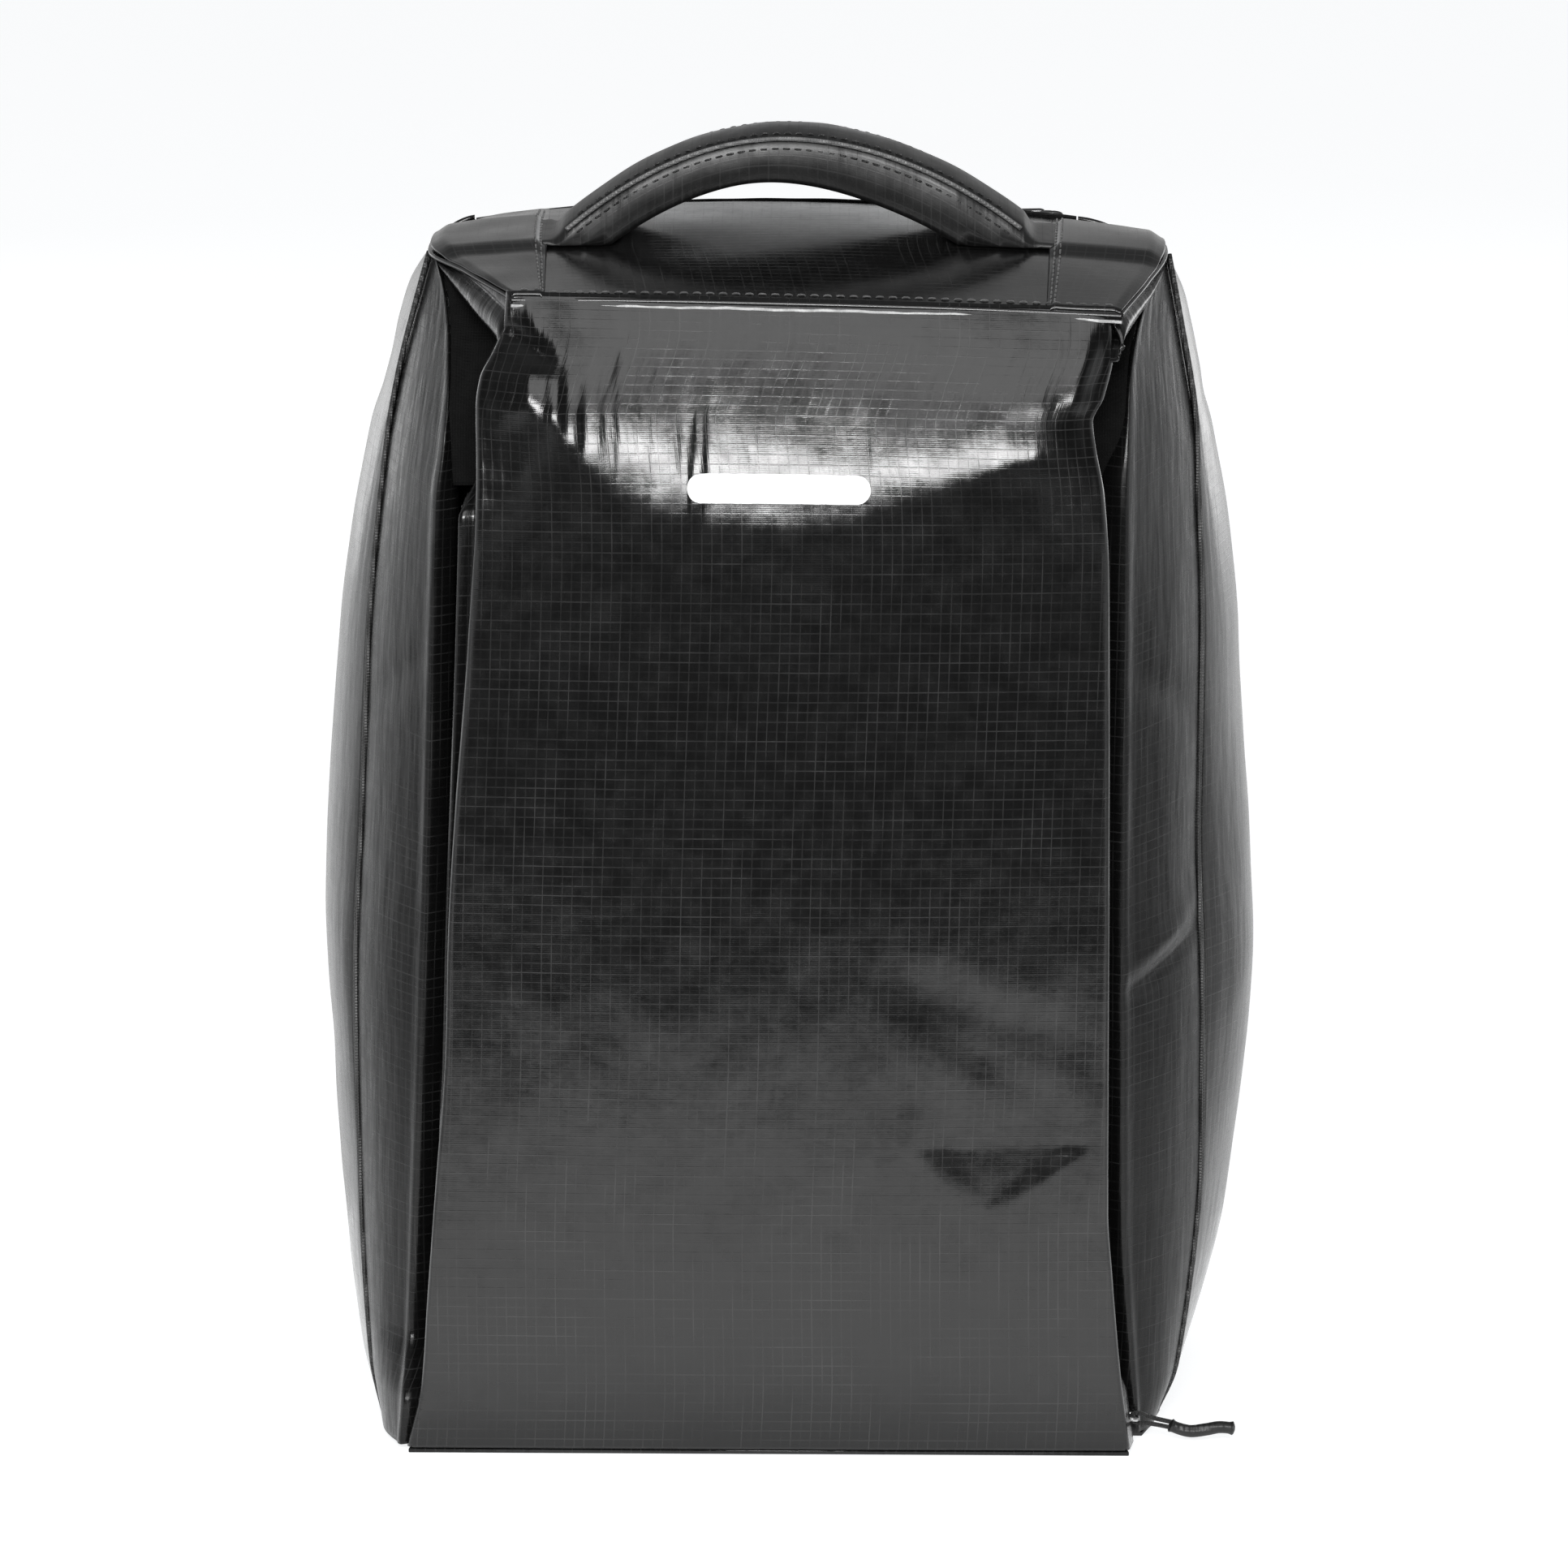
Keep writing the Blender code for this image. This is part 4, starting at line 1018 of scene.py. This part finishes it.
def slider(word, matrix, at):
    """A cast slider: two shield-shaped plates with turned edges, the wedge between them and a bridge."""
    shield = [(-5.5, -2.9), (-5.5, 2.9), (-1.5, 3.7), (3.4, 4.2),
              (5.5, 3.2), (5.5, -3.2), (3.4, -4.2), (-1.5, -3.7)]
    shield = rounded(np.array(shield) * MM, 1.0 * MM)
    chunks = [plate(shield, low * MM, (low + 1.2) * MM, 0.35 * MM) for low in (1.6, -2.8)]
    for across in (-1, 1):
        edge = mm((-5.0, 2.6), (-5.0, 3.3), (3.2, 4.1), (4.6, 3.7), (3.2, 3.4)) * (1, across)
        chunks += [plate(edge, low * MM, high * MM, 0.12 * MM) for low, high in ((0.85, 1.9), (-1.9, -0.85))]
    wedge = mm((5.0, -0.9), (5.0, 0.9), (2.0, 0.35), (2.0, -0.35))
    chunks.append(plate(wedge, -1.7 * MM, 1.7 * MM, 0.1 * MM))
    rise = [(-3.4, 0, 2.5), (-3.3, 0, 4.3), (-2.4, 0, 5.0)]
    arch = spline(np.array(rise + [(0, 0, 5.1)] + [(-x, y, z) for x, y, z in reversed(rise)]) * MM, 30)
    points, faces = tube_chunk(arch, 0.42 * MM)
    chunks.append((points * (1, 1.9, 1), faces))
    name = f"slider_{word}"
    metal_piece(name, f"zip_{name}", chunks, matrix @ Matrix.Translation((at, 0, 0)), name, slider_metal)


def pull_frame(matrix, at, angle):
    return matrix @ Matrix.Translation((at, 0, PULL_AXIS)) @ Matrix.Rotation(-angle, 4, "Y")


def tab_pull(word, matrix, finish):
    """A flat metal tab with an eye that goes round the bridge, and a raised rim."""
    corners = [(-0.55, -3.1), (7.0, -3.0), (15.6, -2.1), (15.6, 2.1), (7.0, 3.0), (-0.55, 3.1)]
    outline = rounded(np.array(corners) * MM, 1.5 * MM, 8)
    eye = rounded(mm((0.6, -1.9), (6.4, -1.9), (6.4, 1.9), (0.6, 1.9)), 1.3 * MM, 8)
    centre = np.array([3.4 * MM, 0])
    # the eye's edge, matched to the outer one by direction from the eye's middle
    turn, angle = (np.mod(np.arctan2(*(ring - centre).T[::-1]), 2 * math.pi) for ring in (outline, eye))
    order = np.argsort(angle)
    inner = np.stack([np.interp(turn, angle[order], eye[order, k], period=2 * math.pi) for k in (0, 1)], -1)
    rings = []
    for z, inset, ring in ((-0.3, 0, inner), (-0.45, -0.12, inner), (-0.55, 0.25, outline), (-0.4, 0, outline),
                           (0.4, 0, outline), (0.55, 0.25, outline), (0.45, 0.12, inner), (0.3, 0, inner)):
        away = ring - (outline.mean(0) if ring is outline else centre)
        away = away / np.linalg.norm(away, axis=1, keepdims=True)
        rings.append(np.column_stack([ring - away * inset * MM, np.full(len(ring), z * MM)]))
    rings.append(rings[0])
    faces = grid_faces(len(rings), len(outline), closed=True)
    node = f"pull_{word}"
    obj = metal_piece(f"tab_{word}", node, [(np.concatenate(rings), faces)], matrix, node, finish)
    weld(obj)
    repair_normals(obj)


def cord_pull(matrix):
    """A wire link on the slider, a cord looped through it and a soft sleeve over the cord's ends."""
    body = "pull_right"
    link = rounded(mm((0.0, -2.6), (8.0, -2.6), (8.0, 2.6), (0.0, 2.6)), 1.4 * MM, 6)
    path = placed(np.column_stack([link, np.zeros(len(link))]), matrix)
    wire = sweep("pull_right_link_wire", path, 0.55 * MM, metal, body, closed_path=True)
    stand_for(wire, "metal", "pull_right_link")
    half = [(17.6, 0.45, 0.62), (13.0, 0.45, 0.68), (10.6, 0.35, 0.95), (8.8, 0.1, 1.3), (7.0, 0, 1.0)]
    loop = half + [(6.35, 0, 0)] + [(x, -y, -z) for x, y, z in reversed(half)]
    path = placed(spline(np.array(loop) * MM, 90), matrix)
    stand_for(sweep("pull_right_cord_loop", path, 0.62 * MM, cord_braid, body), "cord", "pull_right_cord")
    rings, sides = 60, 20
    bend = [(16.6, 0, 0.05), (19.5, 0, 0.6), (22.8, 0, 0.6), (26.5, 0, -0.7), (30, 0, -2.1), (34, 0, -2.6)]
    bend = spline(np.array(bend) * MM, rings)
    points, faces = tube_chunk(bend, 1.0, sides)
    centres = np.repeat(bend, sides, axis=0)
    s = np.repeat(np.linspace(0, 1, rings), sides)
    profile = 1.55 + 0.35 * bump(s, 0.03, 0.03) + 0.30 * bump(s, 0.97, 0.04) + 0.12 * np.sin(s * math.pi)
    end = np.sqrt(np.clip(1 - ((np.abs(s - 0.5) - 0.46) / 0.04).clip(0) ** 2, 0.12, 1))
    points = centres + (points - centres) * (profile * end * MM)[:, None]
    node = "pull_right_sleeve"
    metal_piece(f"{node}_grip", node, [(points, faces)], matrix, body, sleeve_rubber, "sleeve")


def side_zip(word, side):
    head = Vector((side * ZIP_HEAD_X, ZIP_Y, ZIP_HEAD_Z))
    foot = Vector((side * ZIP_FOOT_X, ZIP_Y, ZIP_FOOT_Z))
    matrix = zip_frame(foot, head - foot, (side, 0, 0))
    length = (head - foot).length
    to_front = -1 if (matrix.to_3x3() @ Vector((0, 1, 0))).y > 0 else 1
    for part, across in (("front", to_front), ("rear", -to_front)):
        # the front panel narrows at the left zip's head, and its tape with it
        tucked = 6.2 * MM if part == "front" and side == LEFT else 0.0
        half_tape(f"tape_{part}_{word}", f"zip_tape_{part}_{word}", across, length, matrix,
                  lambda at: TAPE_HALF - tucked * ease(at, 140 * MM, 205 * MM))
        half_coil(f"coil_{part}_{word}", f"zip_coil_{part}_{word}", across, length, matrix)
    at = SLIDER_AT[word]
    slider(word, matrix, at)
    if side == RIGHT:
        cord_pull(pull_frame(matrix, at, CORD_PULL_ANGLE))
    else:
        tab_pull(word, pull_frame(matrix, at, math.pi), nickel)


def end_tab(word, side, matrix):
    """A small tab of cloth sewn over the rear zip's end, turned down at its far edge."""
    t = np.linspace(0, 1, 24)
    start = REAR_ZIP_HALF + side * (REAR_ZIP_HALF + 0.4 * MM)
    reach = 6.0 * MM if side == LEFT else 9.0 * MM
    rows = []
    for out in t:
        y = np.linspace(-4.3 + 1.3 * out, 10.4 - 2.0 * out, 24) * MM
        z = 0.6 * MM + 0.25 * MM * arc(t) * math.sin(math.pi * out) - 2.0 * MM * out**2
        rows.append(np.stack([np.full_like(y, start + side * reach * out), y, z], -1))
    points = placed(np.array(rows), matrix).reshape(24, 24, 3)
    facing = np.array(matrix.to_3x3())[:, 2]
    cloth(f"end_tab_{word}", points, fabric, toward(*facing), f"zip_end_tab_{word}", thickness=1.0 * MM)
    for share in (0.18, 0.30):
        line = points[int(share * 24), 2:-2] + facing * 0.1 * MM
        stitches(f"stitches_end_tab_{word}_{int(share * 100)}", line, facing, pitch=2.4 * MM)


def rear_zip():
    _, y, z = REAR_ZIP_CENTRE
    matrix = zip_frame((-REAR_ZIP_HALF, y, z), (1, 0, 0), (0, 1, 1))
    to_local = matrix.inverted()

    def under_top(at):
        """The upper tape runs up under the top's back edge."""
        edge = top_surface(top_u(at - REAR_ZIP_HALF, 1.0), 1.0)
        return max(3.3 * MM, -(to_local @ Vector(edge)).y - 0.6 * MM)

    for make, part in ((half_tape, "tape"), (half_coil, "coil")):
        for place, across in (("lower", 1), ("upper", -1)):
            name = f"{part}_rear_{place}"
            outer = (under_top,) if name == "tape_rear_upper" else ()
            make(name, f"zip_{name}", across, 2 * REAR_ZIP_HALF, matrix, *outer)
    for word, side in SIDES:
        end_tab(word, side, matrix)
    at = SLIDER_AT["rear"]
    slider("rear", matrix, at)
    tab_pull("rear", pull_frame(matrix, at, math.pi), slider_metal)


for word, side in SIDES:
    side_zip(word, side)
rear_zip()


# ---- handle


HANDLE_SHIFT = 5.6 * MM
HANDLE_TILT = 0.030
HANDLE_DROP_LEFT = 7.2  # this side has sagged a little more


def arch_top(x):
    x = x - HANDLE_SHIFT
    return HANDLE_TOP_Z - np.where(x < 0, HANDLE_DROP_LEFT, HANDLE_DROP) * x * x - HANDLE_TILT * x


def handle_point(x, across, up):
    """Points of the handle: x along it, across it from -1 to 1, and up from -1 under it to 1 on its top."""
    x, across, up = np.broadcast_arrays(*(np.asarray(a, float) for a in (x, across, up)))
    lean = x - HANDLE_SHIFT
    steep = np.hypot(1, 2 * HANDLE_DROP * lean)
    flat = ease(np.abs(lean), 60.5 * MM, 65 * MM)
    y = HANDLE_Y + across * HANDLE_WIDTH / 2 * (1 - 0.05 * flat)
    crown = 1.6 * MM * (1 - across * across) * (0.5 + 0.5 * up)
    thick = HANDLE_THICKNESS * (1 + 0.22 * ease(x, -12 * MM, 35 * MM))
    arch = arch_top(x) + steep * (up * thick / 2 - thick / 2 + crown)
    floor = top_height(x, y) + 0.5 * MM
    lying = floor + (0.5 + 0.5 * up) * 1.7 * MM
    z = arch * (1 - flat) + lying * flat
    return np.stack([x, y, np.maximum(z, floor + (0.5 + 0.5 * up) * 0.9 * MM)], -1)


def handle_section():
    """The padded section, as pairs from -1 to 1: flat underneath, upright sides and a crowned top."""
    corners = [(-0.93, -1.0), (-1.0, -0.8), (-1.03, -0.1), (-1.0, 0.55), (-0.95, 0.78)]
    top = [(a, 0.86 + 0.14 * (1 - (a / 0.9) ** 2) ** 0.5) for a in np.linspace(-0.88, 0.88, 19)]
    right = [(-a, b) for a, b in reversed(corners)]
    under = [(a, -1.0) for a in np.linspace(0.85, -0.85, 11)]
    return corners + top + right + under


def bend_handle(obj):
    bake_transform(obj)


def handle():
    section = handle_section()
    stations = HANDLE_SHIFT + np.linspace(-TAIL_END_X + 1 * MM, TAIL_END_X - 1 * MM, 240)
    across, up = np.array(section).T
    points = handle_point(stations[:, None], across, up)
    pinch = 0.18 * MM * np.sin((stations - 10 * MM) * 2 * math.pi / (17 * MM))
    pinch = pinch + 0.22 * MM * np.sin(stations * 2 * math.pi / (41 * MM))
    points[:, up > 0.8, 2] += 0.4 * pinch[:, None]
    flank = (up > -0.5) & (up < 0.8)
    points[:, flank, 1] += 0.9 * pinch[:, None] * np.sign(across[flank])
    obj = add_mesh("handle_grip", points.reshape(-1, 3), capped_faces(*points.shape[:2]), handle_fabric)
    set_uv(obj, run_along(points[:, 14])[:, None], run_along(points[120]))
    repair_normals(obj)
    bend_handle(obj)
    stand_for(obj, "coated_fabric", "handle_cover", "handle_core", "handle_tail_left", "handle_tail_right")
    xs = HANDLE_SHIFT + np.linspace(-60 * MM, 60 * MM, 200)
    for word, sign in (("front", -1), ("back", 1)):
        path = handle_point(xs, sign, 0.86) + np.array([0, sign * 0.15 * MM, 0])
        # the piping's lighter grey is a painted highlight
        tube = sweep(f"handle_piping_{word}_tube", path, 0.6 * MM, handle_piping_painted_highlight, body=None)
        bend_handle(tube)
        stand_for(tube, "piping", f"handle_piping_{word}")
        upper = handle_point(xs[4:-4], sign * 0.80, 0.93) + np.array([0, 0, 0.15 * MM])
        lower = handle_point(xs[4:-4], sign * 1.01, 0.45)
        for place, line, normal in (("", upper, (0, 0, 1)), ("side_", lower, (0, sign, 0))):
            name = f"stitches_handle_{place}{word}"
            bend_handle(stitches(name, line, normal, dark_thread, 3.0 * MM, body=None))


handle()


# ---- base, inside, mark


def base():
    front_corner = EDGE_X[RIGHT](0) / MM - 0.6
    half = [(front_corner, -63.4), (94.6, -57.2), (87.2, -57.2), (87.2, -44), (99.3, -44), (101.5, -36),
            (104.5, -20), (106.3, 20), (104, 58)]  # with a notch on each side for the zip's pull
    outline = np.array(half + [(-x, y) for x, y in reversed(half)]) * MM
    points, faces = plate(outline, 0.0, 1.2 * MM, 0.3 * MM)
    obj = join_meshes("base_cloth", [(points, faces)], fabric)
    set_uv(obj, points[:, 0], points[:, 1])
    stand_for(obj, "coated_fabric", "base_panel")


def mark():
    """A plain rounded bar printed across the front, a little left of its middle."""
    half_x, half_z, middle, height = 23.8 * MM, 3.7 * MM, 2.8 * MM, 259.6 * MM
    rows = []
    for k in np.linspace(-1, 1, 21):
        reach = half_x - half_z * (1 - math.sqrt(max(0.0, 1 - k * k * 0.995)))
        x = middle + np.linspace(-1, 1, 81) * reach
        h = np.full_like(x, height + k * half_z)
        rows.append(np.stack([x, front_depth(x, h) - 0.08 * MM, lean_height(x, h)], -1))
    stand_for(panel("print_bar", rows, ink, from_axis, thickness=0), "print", "print_mark")


def divider():
    """The quilted wall between the two shoes."""
    front_y = through((4.6, 130, 238, 266, 299), (-60.5, -62, -61, -56, -43))
    back_y = through((4.6, 34, 60, 255, 288, 300, 310), (53.5, 53.8, 51.5, 51.2, 46.5, 41.5, 37))
    faces = []
    for side in (LEFT, RIGHT):
        rows = []
        for w in np.linspace(0, 1, 120):
            z0, z1 = (4.6 + 294.4 * w) * MM, (4.6 + 305.4 * w) * MM
            t = np.linspace(0, 1, 60)
            y = front_y(z0) + (back_y(z1) - front_y(z0)) * t
            z = z0 + (z1 - z0) * t
            hem = arc(t) ** 0.25 * math.sin(math.pi * min(max(w, 0.004), 0.996)) ** 0.25
            quilt = np.abs(arc((y + z) / QUILT_PITCH) * arc((y - z) / QUILT_PITCH)) ** 0.5
            rows.append(np.stack([side * hem * (0.5 + 1.1 * quilt) * MM, y, z], -1))
        faces.append(np.array(rows))
    ring = np.concatenate([faces[1], faces[0][:, ::-1]], axis=1)
    obj = add_mesh("divider_quilted", ring.reshape(-1, 3), capped_faces(*ring.shape[:2]), lining)
    weld(obj)
    repair_normals(obj)
    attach(obj, "root")
    stand_for(obj, "lining", "divider")
    declare(faces[1])


def pocket_lining():
    """The thin inner wall of the rear pocket, turned back to the back panel at its sides and foot."""
    foot = 34 * MM
    wall = np.linspace(-80, 80, 90)
    x = mm(-86, -85, *wall, 85, 86)
    rows = []
    for z in np.linspace(foot, 300 * MM, 120):
        back = CORNER_Y(z) - 1.2 * MM
        y = back - 7.5 * MM * min(1.0, (z - foot) / (14 * MM) + 0.12) + 0 * x
        y[[0, -1]] = back - 0.8 * MM
        y[2:-2] += 0.5 * MM * waves(x[2:-2], z, 61, 60 * MM)
        rows.append(np.stack([x, y, np.full_like(x, z)], -1))
    name = "pocket_lining"
    cloth(f"{name}_cloth", np.array(rows), lining, toward(0, -1, 0), name, 0.5 * MM)


def inside():
    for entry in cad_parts["base_board"].material_slots:
        entry.material = board
    divider()
    pocket_lining()


base()
mark()
inside()


# ---- floor, light and camera


def add_light(name, position, aim, energy, size):
    light = bpy.data.lights.new(name, "AREA")
    light.energy, light.shape = energy, "RECTANGLE"
    light.size, light.size_y = size
    obj = bpy.data.objects.new(name, light)
    obj.location = position
    obj.rotation_euler = (Vector(aim) - Vector(position)).to_track_quat("-Z", "Y").to_euler()
    obj.visible_camera = False
    bpy.context.scene.collection.objects.link(obj)


def sheet(name, corners, material):
    return add_mesh(name, corners, [(0, 1, 2, 3)], material, smooth=False)


def card(name, corners, *look, **more):
    """A card that shapes what the glossy cloth mirrors, and that the camera doesn't see."""
    obj = sheet(name, corners, card_material(name, *look, **more))
    obj.visible_camera = obj.visible_shadow = False
    return obj


def flat_corners(x, near, far, z):
    return [(x[0], near, z), (x[1], near, z), (x[1], far, z), (x[0], far, z)]


def cards():
    """Before the bag lie a black flag and a glowing card. Beside it lies a black flag and stands a grey card that
    glows a little.
    """
    yield card("flag", flat_corners((-1.4, 1.4), -3.4, -0.28, 0.004),
               (("Y", -0.38, -0.64), ("X", 1.3, 0.7)), 0.96, shade=0.01)
    yield card("bounce_card", flat_corners((-1.0, 1.0), -0.60, -0.06, 0.003),
               (("Y", -0.54, -0.26), ("Y", -0.06, -0.16), ("X", 0.9, 0.3)), glow=1.85)
    for word, side in SIDES:
        upright = [(side * x, 0.17, z) for x, z in ((0.04, 0.0), (0.36, 0.0), (0.36, 0.6), (0.04, 0.6))]
        yield card(f"back_card_{word}", upright, (("X", 0.28, 0.11), ("Z", 0.58, 0.40)), glow=0.40)
        yield card(f"side_flag_{word}", flat_corners((side * 0.3, side * 1.8), -0.28, 0.5, 0.005),
                   (("X", 0.3, 0.6), ("Y", 0.48, 0.18)), 0.55, shade=0.01)


def room():
    """A pale room, dim behind the camera and overhead."""
    world = bpy.data.worlds.new("studio")
    n = Nodes(world, "Background")
    split = n.split(n.place(output="Generated"))
    level = n.times(n.remap(split["Y"], -0.7, 0.2, 0.10, 1.0), n.remap(split["Z"], 0.05, 0.5, 1.0, 0.30))
    n.put(n.shader.inputs["Strength"], level)
    n.put(n.shader.inputs["Color"], (0.98, 0.99, 1.0, 1))
    bpy.context.scene.world = world


def studio():
    bpy.context.scene.view_settings.view_transform = "Standard"
    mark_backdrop(sheet("floor", [(-6, -6, 0), (6, -6, 0), (6, 9, 0), (-6, 9, 0)], floor_material()), *cards())
    room()
    middle, low = (0, 0, 0.28), (0, 0, 0.17)
    add_light("front_softbox", (-0.1, -2.1, 1.12), middle, 52, (1.5, 0.38))
    add_light("upper_softbox", (0.0, -1.6, 2.0), middle, 15, (1.8, 0.9))
    add_light("left_rim", (-1.0, 1.7, 0.35), low, 3.5, (0.9, 0.7))
    add_light("right_rim", (1.1, 1.7, 0.35), low, 5, (0.9, 0.7))


def camera():
    data = bpy.data.cameras.new("camera")
    data.lens = 214.4
    data.sensor_width = 36
    obj = bpy.data.objects.new("camera", data)
    obj.location = (0.04568, -2.44500, 0.68778)
    obj.rotation_euler = (Vector((0.003, 0, 0.168)) - obj.location).to_track_quat("-Z", "Y").to_euler()
    bpy.context.scene.collection.objects.link(obj)
    bpy.context.scene.camera = obj


studio()
camera()
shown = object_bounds()
boxes = {"cad": cad_box, "shown": shown}
{name: [list(map(float, corner)) for corner in box] for name, box in boxes.items()}
